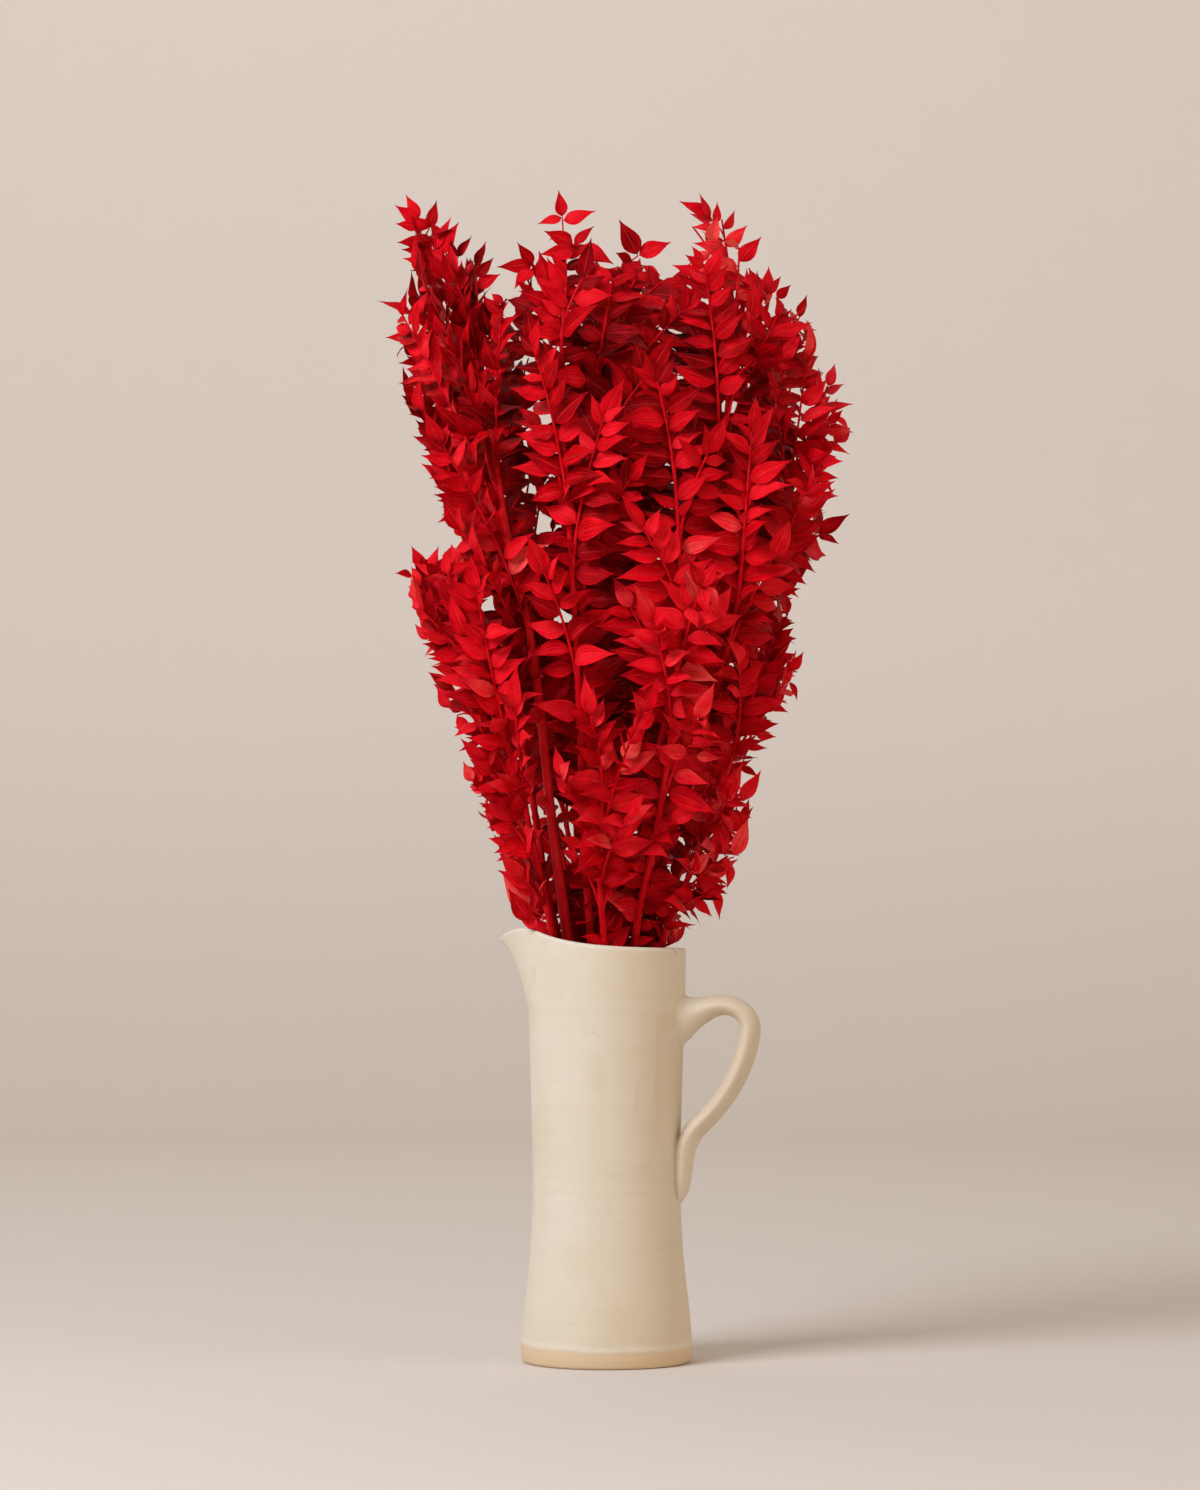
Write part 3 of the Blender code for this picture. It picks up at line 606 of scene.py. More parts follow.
# The blade thins to this share of its thickness at its tip, and a rib stands out under its middle.
BLADE_HALF_THICKNESS = 0.00016
THIN_SHARE = 0.35
RIB_THICKNESS = 0.00022
RIB_SPREAD = 0.16

# A leaf is tested for what it crosses as this coarser blade, in cells of space this large.
TEST_ROWS = (0.03, 0.22, 0.45, 0.72, 0.97)
TEST_COLUMNS = (-0.9, 0.0, 0.9)
CELL = 0.045


def smooth_line(points, spacing):
    """Evenly spaced points on one smooth curve through the given points."""
    points = np.array([tuple(point) for point in points], float)
    lengths = np.linalg.norm(np.diff(points, axis=0), axis=1)
    at = np.concatenate([[0], np.cumsum(np.sqrt(lengths))])
    slopes = np.gradient(points, at, axis=0)
    dense = []
    for i in range(len(points) - 1):
        t = np.linspace(0, 1, SPAN_POINTS, endpoint=i == len(points) - 2)[:, None]
        step = at[i + 1] - at[i]
        dense.append(
            points[i] * (2 * t**3 - 3 * t**2 + 1) + slopes[i] * step * (t**3 - 2 * t**2 + t)
            + points[i + 1] * (3 * t**2 - 2 * t**3) + slopes[i + 1] * step * (t**3 - t**2)
        )
    dense = np.concatenate(dense)
    run = np.concatenate([[0], np.cumsum(np.linalg.norm(np.diff(dense, axis=0), axis=1))])
    wanted = np.linspace(0, run[-1], max(3, round(run[-1] / spacing) + 1))
    return np.stack([np.interp(wanted, run, dense[:, k]) for k in range(points.shape[1])], axis=1)


def new_object(name, mesh):
    """A mesh object linked to the scene."""
    made = bpy.data.objects.new(name, mesh)
    bpy.context.scene.collection.objects.link(made)
    return made


def dress(piece, nodes):
    """Lets a piece stand for its solids and ride with them."""
    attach(piece, "root")
    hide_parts(*nodes)


def mark_points(mesh, name, values):
    """Keeps a value at each of a mesh's points, for its finish to read."""
    mesh.attributes.new(name, "FLOAT", "POINT").data.foreach_set("value", np.array(values, np.float32))


def grid_faces(rows, columns, closed):
    """Quads of a grid of points; closed joins the last column to the first."""
    faces = []
    for row in range(rows - 1):
        for column in range(columns if closed else columns - 1):
            side = (column + 1) % columns
            faces.append((row * columns + column, row * columns + side,
                          (row + 1) * columns + side, (row + 1) * columns + column))
    return faces


def rise(value, start, end):
    """0 below start, 1 above end, straight between."""
    return np.clip((value - start) / (end - start), 0, 1)


def jug_section():
    """The body's section: up the inside from the floor, over the rim, down the outside and under."""
    outside = smooth_line(OUTSIDE[:-2], JUG_ROW)
    wall = RIM_WALL + (WALL - RIM_WALL) * rise(RIM_HEIGHT - outside[:, 1], 0, WALL_THINS_WITHIN)
    inside = np.stack([outside[:, 0] - wall, outside[:, 1]], axis=1)
    inside = inside[inside[:, 1] > FLOOR + CORNER_ROOM][::-2]
    bend = np.linspace(0, math.pi, 9)[1:-1]
    rim_middle = OUTSIDE[0][0] - RIM_WALL / 2
    crown = RIM_HEIGHT - OUTSIDE[0][1]
    rim = np.stack([rim_middle - np.cos(bend) * RIM_WALL / 2,
                    OUTSIDE[0][1] + np.sin(bend) ** 0.7 * crown], axis=1)
    floor = np.stack([np.linspace(0.002, INSIDE_CORNER - CORNER_ROOM, 8), np.full(8, FLOOR)], axis=1)
    corner = np.array([(INSIDE_CORNER - 0.002, FLOOR + 0.0012), (INSIDE_CORNER, FLOOR + 0.004)])
    foot = np.array([(0.0593, 0.0060), OUTSIDE[-2], (0.0582, 0.0006), OUTSIDE[-1]])
    under = np.stack([np.linspace(0.0555, 0.002, 9), np.zeros(9)], axis=1)
    return np.concatenate([floor, corner, inside, rim, outside, foot, under])


def draw_out_lip(points):
    """Lifts the rim towards -X and draws the pouring lip out of it."""
    x, y, z = points.T
    radius_at_rim = OUTSIDE[0][0]
    turned = np.abs(math.pi - np.arctan2(y, x) % (2 * math.pi))
    lip = (0.5 * (1 + np.cos(math.pi * np.minimum(1, turned / LIP_HALF_ANGLE)))) ** LIP_SHARPNESS
    towards = rise(-x, -radius_at_rim, radius_at_rim)
    climb = CLIMB_EVEN_SHARE * towards + (1 - CLIMB_EVEN_SHARE) * towards**CLIMB_POWER
    height = rise(z, CLIMB_FROM, RIM_HEIGHT) ** CLIMB_BEND
    bend = rise(z, LIP_FROM, RIM_HEIGHT)
    reach = LIP_EARLY_SHARE * bend**LIP_EARLY_BEND + (1 - LIP_EARLY_SHARE) * bend**LIP_LATE_BEND
    outward = np.stack([x, y, np.zeros_like(x)], axis=1)
    outward /= np.maximum(np.linalg.norm(outward, axis=1, keepdims=True), 1e-9)
    moved = points + outward * (LIP_REACH * lip * reach)[:, None]
    moved[:, 2] += (RIM_CLIMB * climb - LIP_DROOP * lip**2) * height
    return moved


def mark_of_the_wheel(points):
    """Shallow throwing rings and a body that isn't quite round, fading out at the foot."""
    x, y, z = points.T
    angle = np.arctan2(y, x)
    drift = 1.5 * np.sin(z * 37) + 0.8 * np.sin(z * 91 + 1.3)
    rings = np.sin(2 * math.pi * z / RING_SPACING + drift + 0.35 * np.sin(angle + z * 20))
    rings *= 0.55 + 0.45 * np.sin(z * 58 + 0.6)
    wobble = np.sin(2 * angle + 0.7 + z * 9) + 0.6 * np.sin(3 * angle - z * 14) + 0.5 * np.sin(angle + z * 31)
    push = (RING_HEIGHT * rings + OUT_OF_ROUND * wobble * 0.5) * rise(z, 0.004, 0.03)
    push *= 1 - 0.6 * rise(z, 0.262, 0.283)
    outward = np.stack([np.cos(angle), np.sin(angle), np.zeros_like(z)], axis=1)
    return points + outward * push[:, None]


def turned_body():
    """The thrown body as one closed mesh."""
    section = jug_section()
    angles = np.linspace(0, 2 * math.pi, JUG_STEPS, endpoint=False)
    radius = section[:, 0][:, None]
    height = np.repeat(section[:, 1][:, None], JUG_STEPS, axis=1)
    points = np.stack([radius * np.cos(angles), radius * np.sin(angles), height], axis=2).reshape(-1, 3)
    points = draw_out_lip(mark_of_the_wheel(points))
    rows = len(section)
    faces = grid_faces(rows, JUG_STEPS, True)
    middle_inside, middle_under = len(points), len(points) + 1
    points = np.concatenate([points, [(0, 0, FLOOR)], [(0, 0, 0)]])
    last = (rows - 1) * JUG_STEPS
    for step in range(JUG_STEPS):
        side = (step + 1) % JUG_STEPS
        faces.append((middle_inside, side, step))
        faces.append((middle_under, last + step, last + side))
    mesh = bpy.data.meshes.new("jug_glazed")
    mesh.from_pydata(points.tolist(), [], [face[::-1] for face in faces])
    return mesh


def pulled_handle():
    """The strap as a loft of rounded oblongs, from its spread root to its pressed-on tail."""
    way = smooth_line(HANDLE_WAY, HANDLE_RING)
    along = np.gradient(way[:, :2], axis=0)
    along /= np.linalg.norm(along, axis=1, keepdims=True)
    angles = np.linspace(0, 2 * math.pi, HANDLE_SIDES, endpoint=False)
    power = 2 / np.where(np.cos(angles) < 0, INNER_SQUARENESS, OUTER_SQUARENESS)
    thick = np.sign(np.cos(angles)) * np.abs(np.cos(angles)) ** power
    broad = np.sign(np.sin(angles)) * np.abs(np.sin(angles)) ** power
    points = []
    for (x, z, half_thick, half_broad), (run, climb) in zip(way, along):
        for t, b in zip(thick, broad):
            points.append((x - climb * half_thick * t, half_broad * b, z + run * half_thick * t))
    faces = grid_faces(len(way), HANDLE_SIDES, True)
    faces.append(tuple(range(HANDLE_SIDES - 1, -1, -1)))
    faces.append(tuple(range((len(way) - 1) * HANDLE_SIDES, len(way) * HANDLE_SIDES)))
    mesh = bpy.data.meshes.new("handle")
    mesh.from_pydata(points, [], faces)
    shape = bmesh.new()
    shape.from_mesh(mesh)
    bmesh.ops.recalc_face_normals(shape, faces=shape.faces)
    shape.to_mesh(mesh)
    shape.free()
    return mesh


def soften_joints(mesh):
    """Smooths the clay where the handle meets the body, and notes how near each point is to a joint."""
    shape = bmesh.new()
    shape.from_mesh(mesh)
    bmesh.ops.triangulate(shape, faces=[face for face in shape.faces if len(face.verts) > 4])
    joint = [v for v in shape.verts if len({face.material_index for face in v.link_faces}) > 1]
    near = {v.index: 1.0 for v in joint}
    reached = joint
    distance = {v.index: 0.0 for v in joint}
    while reached:
        following = []
        for v in reached:
            for edge in v.link_edges:
                other = edge.other_vert(v)
                length = distance[v.index] + edge.calc_length()
                if length < JOINT_REACH and length < distance.get(other.index, JOINT_REACH):
                    distance[other.index] = length
                    near[other.index] = 1 - length / JOINT_REACH
                    following.append(other)
        reached = following
    shape.verts.ensure_lookup_table()
    for _ in range(JOINT_ROUNDS):
        moves = {}
        for index, weight in near.items():
            v = shape.verts[index]
            others = [edge.other_vert(v).co for edge in v.link_edges]
            moves[index] = v.co.lerp(sum(others, Vector()) / len(others), 0.5 * weight)
        for index, place in moves.items():
            shape.verts[index].co = place
    shape.to_mesh(mesh)
    shape.free()
    mark_points(mesh, "joint", [near.get(index, 0) for index in range(len(mesh.vertices))])


def mark_rim(mesh):
    """Notes how near each point is to the rim, whose height changes round the jug."""
    places = np.zeros(len(mesh.vertices) * 3)
    mesh.vertices.foreach_get("co", places)
    places = places.reshape(-1, 3)
    angles = np.linspace(-math.pi, math.pi, 181)
    ring = np.stack([np.cos(angles), np.sin(angles), np.ones_like(angles)], axis=1)
    edge = draw_out_lip(ring * (OUTSIDE[0][0], OUTSIDE[0][0], RIM_HEIGHT))
    height = np.interp(np.arctan2(places[:, 1], places[:, 0]), angles, edge[:, 2])
    mark_points(mesh, "rim", rise(places[:, 2], height - RIM_BAND[0], height - RIM_BAND[1]))


def build_jug():
    """The jug with its handle as one fired piece."""
    jug = new_object("jug_glazed", turned_body())
    handle = new_object("handle", pulled_handle())
    for thing, name in ((jug, "body side"), (handle, "handle side")):
        for label in ("body side", "handle side"):
            thing.data.materials.append(bpy.data.materials.get(label) or bpy.data.materials.new(label))
        index = thing.data.materials.find(name)
        thing.data.polygons.foreach_set("material_index", [index] * len(thing.data.polygons))
    join = jug.modifiers.new("join", "BOOLEAN")
    join.operation = "UNION"
    join.object = handle
    join.solver = "EXACT"
    bpy.context.view_layer.update()
    joined = bpy.data.meshes.new_from_object(jug.evaluated_get(bpy.context.evaluated_depsgraph_get()))
    jug.modifiers.clear()
    jug.data = joined
    bpy.data.objects.remove(handle)
    soften_joints(joined)
    mark_rim(joined)
    joined.materials.clear()
    joined.polygons.foreach_set("material_index", [0] * len(joined.polygons))
    joined.materials.append(glazed_stoneware())
    joined.shade_smooth()
    dress(jug, ["jug"])


def seen(point):
    """A place in metres from a point of the stems' table."""
    across, away, up = point
    return (ACROSS * across + AWAY * away + UP * up) * MM


def stem_line(way):
    """A stem's smooth middle line from its cut foot to its tip."""
    foot = Matrix.Rotation(FOOT_TURN, 3, "Z") @ seen(way[0]) * FOOT_SHARE
    foot.z = FLOOR + FOOT_GAP
    return smooth_line([foot, foot + UP * FOOT_LENGTH] + [seen(point) for point in way], ROD_RING)


def bent_shoot(line, number, end):
    """A shoot that leaves along a rod at one of its points and bends away to its own end."""
    start = Vector(line[number])
    direction = Vector(line[number + 1] - line[number - 1]).normalized()
    lead = start + direction * (end - start).length * SHOOT_FOLLOWS
    bent = []
    for i in range(SHOOT_STEPS + 1):
        t = i / SHOOT_STEPS
        bent.append(start * (1 - t) ** 2 + lead * 2 * t * (1 - t) + end * t**2)
    return smooth_line(bent, ROD_RING)


def shoot_line(stem, height, tip):
    """A side shoot that leaves its stem at a height and ends at its own tip."""
    number = int(np.argmax(stem[:, 2] >= height * MM))
    return bent_shoot(stem, number, seen(tip))


def rods_of(way, half, shoots):
    """A stem's rods as (line, half thickness at each point): the stem first, then its side shoots."""
    line = stem_line(way)
    bare = rise(line[:, 2], seen(way[0]).z, line[-1, 2])
    rods = [(line, (half + (TIP_HALF - half) * bare) * MM)]
    for height, tip in shoots:
        shoot = shoot_line(line, height, tip)
        share = np.linspace(0, 1, len(shoot))
        rods.append((shoot, (SHOOT_HALF + (SHOOT_TIP_HALF - SHOOT_HALF) * share) * MM))
    return rods


def outward_at(place):
    """The level direction from the bunch's middle, or from its back near the middle."""
    level = Vector((place.x, place.y, 0))
    if level.length < MIDDLE_RADIUS:
        level = level - AWAY * MIDDLE_RADIUS
    return level.normalized()


def facing(place):
    """The way that a leaf's face looks: out of the bunch, up, and to its front or back."""
    near_side = -1 if place.dot(AWAY) < 0 else 1
    return outward_at(place) + AWAY * near_side * FACE_FORWARD + UP * FACE_UP


def leaf_frame(root, along, face):
    """A placement whose X runs along the leaf and whose Z is the side that the blade shows."""
    across = face.cross(along).normalized()
    above = along.cross(across)
    turned = Matrix((along, across, above)).transposed().to_4x4()
    turned.translation = root
    return turned


def draw_form(chance, size, paler):
    """The form of one leaf, drawn by chance. Angles in radians, lengths in metres."""
    if chance.random() < PALE_SHARE:
        paler = max(paler, chance.uniform(*PALE_TONES))
    return {
        "length": LEAF_LENGTH * size * chance.uniform(*LENGTHS),
        "half": LEAF_HALF_WIDTH * size * chance.uniform(*HALF_WIDTHS),
        "droop": math.radians(chance.gauss(*DROOPS)),
        "curl": math.radians(chance.gauss(*CURLS)),
        "fold": chance.uniform(*FOLDS),
        "cup": chance.gauss(*CUPS),
        "twist": math.radians(chance.gauss(*TWISTS)),
        "wave": abs(chance.gauss(*WAVES)),
        "phase": chance.uniform(0, 1),
        "skew": chance.gauss(*SKEWS),
        # paler carries the painted light and shade by place from paleness(), as well as lighter tips.
        "tone": max(LEAST_TONE + min(0, paler), chance.gauss(*TONES) + paler * chance.uniform(*PALE_GAINS)),
        "seed": chance.uniform(0, 1),
    }


def half_width_shares(rows):
    """The blade's outline: half its width at each share of the leaf's length, 1 at its widest."""
    blade = np.clip((rows - PETIOLE_SHARE) / (1 - PETIOLE_SHARE), 0, 1)
    return (blade / WIDEST_AT) ** BASE_FULLNESS * ((1 - blade) / (1 - WIDEST_AT)) ** TIP_DRAWN


def blade_surface(forms, rows, columns):
    """Middle surface and its normals, each (leaf, row, column, axis), of many leaves along +X."""
    rows, columns = np.array(rows, float), np.array(columns, float)

    def value(name):
        """One measure of every leaf's form."""
        return np.array([form[name] for form in forms])[:, None]

    def summed(steps):
        """The way gone along each leaf, from 0 at its root."""
        return np.concatenate([np.zeros((len(forms), 1)), np.cumsum(steps, axis=1)], axis=1)

    fine = np.linspace(0, 1, BEND_POINTS)
    angle = -(value("droop") * fine**1.4 + value("curl") * fine**4)
    step = value("length") / (BEND_POINTS - 1)
    run = summed(np.cos(angle[:, :-1]) * step)
    climb = summed(np.sin(angle[:, :-1]) * step)
    at_rows = [np.stack([np.interp(rows, fine, one) for one in many]) for many in (run, climb, angle)]
    run, climb, angle = [found[:, :, None] for found in at_rows]
    half = np.maximum(value("half") * half_width_shares(rows), PETIOLE_HALF * (1 - rows) ** 0.5)[:, :, None]
    across = columns[None, None, :]
    aside = half * across + (value("skew") * value("length") * rows**2)[:, :, None]
    lift = half * (value("fold")[:, :, None] * np.abs(across) + value("cup")[:, :, None] * across**2)
    ripple = np.sin(2 * math.pi * (RIPPLES * rows[None, :, None] + value("phase")[:, :, None] + 0.2 * across))
    lift = lift + value("wave")[:, :, None] * half * ripple * across * np.abs(across) * RIPPLE_HEIGHT
    turn = value("twist")[:, :, None] * (rows[None, :, None] - TWISTS_FROM)
    side = aside * np.cos(turn) - lift * np.sin(turn)
    above = aside * np.sin(turn) + lift * np.cos(turn)
    points = np.stack([run - above * np.sin(angle), side, climb + above * np.cos(angle)], axis=3)
    tilt = np.cos(turn)
    normals = np.stack([-tilt * np.sin(angle), -np.sin(turn) + 0 * angle, tilt * np.cos(angle)], axis=3)
    return points, normals + 0 * points


def placed_points(points, placements):
    """Points of each leaf moved to its own placement."""
    turns = np.array([[list(row) for row in placed] for placed in placements])
    shape = points.shape
    flat = points.reshape(shape[0], -1, 3)
    moved = flat @ turns[:, :3, :3].transpose(0, 2, 1) + turns[:, None, :3, 3]
    return moved.reshape(shape)


def leaf_faces():
    """Faces of one leaf whose upper and lower sheets share the rim, the root and the tip."""
    rows, columns = len(LEAF_ROWS) - 2, len(LEAF_COLUMNS)
    inner = columns - 2

    def upper(row, column):
        """The number of a point of the upper sheet."""
        return row * columns + column

    def lower(row, column):
        """The number of a point of the lower sheet, which shares its rim with the upper one."""
        if column in (0, columns - 1):
            return upper(row, column)
        return rows * columns + row * inner + column - 1

    root = rows * columns + rows * inner
    tip = root + 1
    faces = []
    for column in range(columns - 1):
        faces.append((root, upper(0, column), upper(0, column + 1)))
        faces.append((root, lower(0, column + 1), lower(0, column)))
        faces.append((tip, upper(rows - 1, column + 1), upper(rows - 1, column)))
        faces.append((tip, lower(rows - 1, column), lower(rows - 1, column + 1)))
        for row in range(rows - 1):
            faces.append((upper(row, column), upper(row + 1, column),
                          upper(row + 1, column + 1), upper(row, column + 1)))
            faces.append((lower(row, column), lower(row, column + 1),
                          lower(row + 1, column + 1), lower(row + 1, column)))
    return [face[::-1] for face in faces]


def leaves_mesh(name, grown):
    """One mesh of many leaves, with their veins' coordinates as UVs and their tones as attributes."""
    forms = [form for form, placed in grown]
    points, normals = blade_surface(forms, LEAF_ROWS, LEAF_COLUMNS)
    columns = np.array(LEAF_COLUMNS)
    rows = np.array(LEAF_ROWS)
    body = BLADE_HALF_THICKNESS * (1 - columns**2) * (THIN_SHARE + (1 - THIN_SHARE) * (1 - rows[:, None]))
    rib = RIB_THICKNESS * np.exp(-((columns / RIB_SPREAD) ** 2)) * (1 - 0.8 * rows[:, None])
    above = points + normals * body[None, :, :, None]
    below = points - normals * (body + rib)[None, :, :, None]
    count = len(forms)
    ends = points[:, [0, -1], len(columns) // 2]
    per_leaf = np.concatenate([
        above[:, 1:-1].reshape(count, -1, 3), below[:, 1:-1, 1:-1].reshape(count, -1, 3), ends], axis=1)
    world = placed_points(per_leaf, [placed for form, placed in grown])
    size = world.shape[1]
    one = leaf_faces()
    faces = [tuple(corner + size * leaf for corner in face) for leaf in range(count) for face in one]
    mesh = bpy.data.meshes.new(name)
    mesh.from_pydata(world.reshape(-1, 3).tolist(), [], faces)
    u, v = np.meshgrid(columns * 0.5 + 0.5, rows)
    grid = np.stack([u, v], axis=2)
    places = [grid[1:-1].reshape(-1, 2), grid[1:-1, 1:-1].reshape(-1, 2), grid[[0, -1], 3]]
    places = np.concatenate(places)
    corners = np.zeros(len(mesh.loops), np.int32)
    mesh.loops.foreach_get("vertex_index", corners)
    mesh.uv_layers.new(name="Blade").data.foreach_set("uv", places[corners % size].astype(np.float32).ravel())
    for label in ("tone", "seed"):
        mark_points(mesh, label, np.repeat([form[label] for form in forms], size))
    mesh.shade_smooth()
    mesh.set_sharp_from_angle(angle=math.radians(75))
    return mesh


class Grown:
    """What stands so far, in cells of space, so that a new leaf can be kept clear of it."""

    def __init__(self):
        self.cells = {}

    def cells_round(self, points):
        """The cells that a shape's box reaches."""
        low, high = [np.floor(corner / CELL).astype(int) for corner in (points.min(0), points.max(0))]
        return itertools.product(*(range(first, last + 1) for first, last in zip(low, high)))

    def add(self, points, faces, owner):
        """Remembers a shape."""
        points = np.asarray(points, float)
        tree = BVHTree.FromPolygons(points.tolist(), faces)
        for cell in self.cells_round(points):
            self.cells.setdefault(cell, []).append((tree, owner))

    def crosses(self, points, faces, owner):
        """Whether a shape crosses what stands, apart from what has the same owner."""
        tree = BVHTree.FromPolygons(points.tolist(), faces)
        tested = set()
        for cell in self.cells_round(points):
            for other, other_owner in self.cells.get(cell, ()):
                if other_owner != owner and id(other) not in tested:
                    tested.add(id(other))
                    if tree.overlap(other):
                        return True
        return False


TEST_FACES = grid_faces(len(TEST_ROWS), len(TEST_COLUMNS), False)
EDGE_ROWS = np.array(EDGE, float)
TOP_POINTS = np.array(TOP_EDGE, float)
BOX_LOW, BOX_HIGH = np.array(cad_box[0]) - BOX_MARGIN, np.array(cad_box[1]) + BOX_MARGIN
MOUTH_RADIUS = OUTSIDE[0][0] - RIM_WALL - RIM_BESIDE
MOUTH_HEIGHT = RIM_HEIGHT + RIM_ABOVE
BARE_LINE = stem_line(STEMS[BARE_STEM][1])
BARE_LINE = BARE_LINE[BARE_LINE[:, 2] > BARE_FROM]


def from_front(points):
    """Where points show from the front, as (across, up) in millimetres on the jug's own plane."""
    aside = points @ np.array(ACROSS) - CAMERA_ASIDE
    ahead = points @ np.array(AWAY) + CAMERA_DISTANCE
    above = points[:, 2] - CAMERA_HEIGHT
    depth = ahead * math.cos(LOOK_UP) + above * math.sin(LOOK_UP)
    raised = above * math.cos(LOOK_UP) - ahead * math.sin(LOOK_UP)
    across = CAMERA_ASIDE + CAMERA_DISTANCE * aside / depth
    up = CAMERA_HEIGHT + CAMERA_DISTANCE * (math.tan(LOOK_UP) + raised / depth)
    return across / MM, up / MM


def hides_bare_stem(points, across, up):
    """Whether a leaf would stand before the stem that shows its bare length."""
    line_across, line_up = from_front(BARE_LINE)
    beside = np.abs(across - np.interp(up, line_up, line_across))
    depth = np.interp(up, line_up, BARE_LINE @ np.array(AWAY))
    before = points @ np.array(AWAY) < depth
    stem = (up < BARE_UNTIL / MM) & (beside < BARE_MARGIN)
    middle, height, half_width, half_height = STUB_CLEAR
    stub = (np.abs(across - middle) < half_width) & (np.abs(up - height) < half_height)
    return bool((before & (stem | stub)).any())


def shows_wrongly(points):
    """Whether a leaf would pass the bunch's edge, close a gap that shows or hide the bare stem."""
    across, up = from_front(points)
    if hides_bare_stem(points, across, up):
        return True
    left = np.interp(up, EDGE_ROWS[:, 0], EDGE_ROWS[:, 1])
    right = np.interp(up, EDGE_ROWS[:, 0], EDGE_ROWS[:, 2])
    top = np.interp(across, TOP_POINTS[:, 0], TOP_POINTS[:, 1])
    if ((across < left + EDGE_INSET) | (across > right - EDGE_INSET) | (up > top)).any():
        return True
    if ((points[:, 2] < MOUTH_HEIGHT) & (np.hypot(points[:, 0], points[:, 1]) > MOUTH_RADIUS)).any():
        return True
    return any(
        (((across - x) / half_width) ** 2 + ((up - z) / half_height) ** 2 < 1).any()
        for x, z, half_width, half_height in SEE_THROUGH
    )


def inside_share(place, across, up):
    """0 at the bunch's outside and 1 deep inside it, where painted shade darkens the leaves."""
    left, right = [np.interp(up, EDGE_ROWS[:, 0], EDGE_ROWS[:, side]) for side in (1, 2)]
    half = (right - left) / 2
    from_middle = math.hypot((across - (left + right) / 2) / half, place.dot(AWAY) / MM / half)
    below_top = np.interp(across, TOP_POINTS[:, 0], TOP_POINTS[:, 1]) - up
    return float(rise(from_middle, INSIDE_FROM, INSIDE_TO) * rise(below_top, *INSIDE_BELOW_TOP))


def paleness(place):
    """How much lighter or darker a leaf is than the rest, by its place: lighter tips, painted light low down,
    painted shade high up and deep inside the bunch.
    """
    across, up = [float(value[0]) for value in from_front(np.array([place]))]
    lighter = sum(
        gain * math.exp(-((across - x) ** 2 + (up - z) ** 2) / reach**2)
        for x, z, reach, gain in PALE_TIPS
    )
    high = rise(up, HIGH_FROM, HIGH_TO) * rise(across, *HIGH_LEFT_OF)
    # Painted light low down and painted shade high up, then painted shade deep inside the bunch.
    lighter += LOW_PAINTED_LIGHT * float(rise(up, LOW_FROM, LOW_TO)) - HIGH_PAINTED_SHADE * float(high)
    return lighter - INSIDE_PAINTED_SHADE * inside_share(place, across, up)


def shown_tip(across, up, away):
    """The place that shows at a point of the front view, at a depth in millimetres."""
    ahead = away * MM + CAMERA_DISTANCE
    turn = LOOK_UP + math.atan((up * MM - CAMERA_HEIGHT) / CAMERA_DISTANCE - math.tan(LOOK_UP))
    above = ahead * math.tan(turn)
    depth = ahead * math.cos(LOOK_UP) + above * math.sin(LOOK_UP)
    aside = CAMERA_ASIDE + (across * MM - CAMERA_ASIDE) * depth / CAMERA_DISTANCE
    return ACROSS * aside + AWAY * away * MM + UP * (CAMERA_HEIGHT + above)


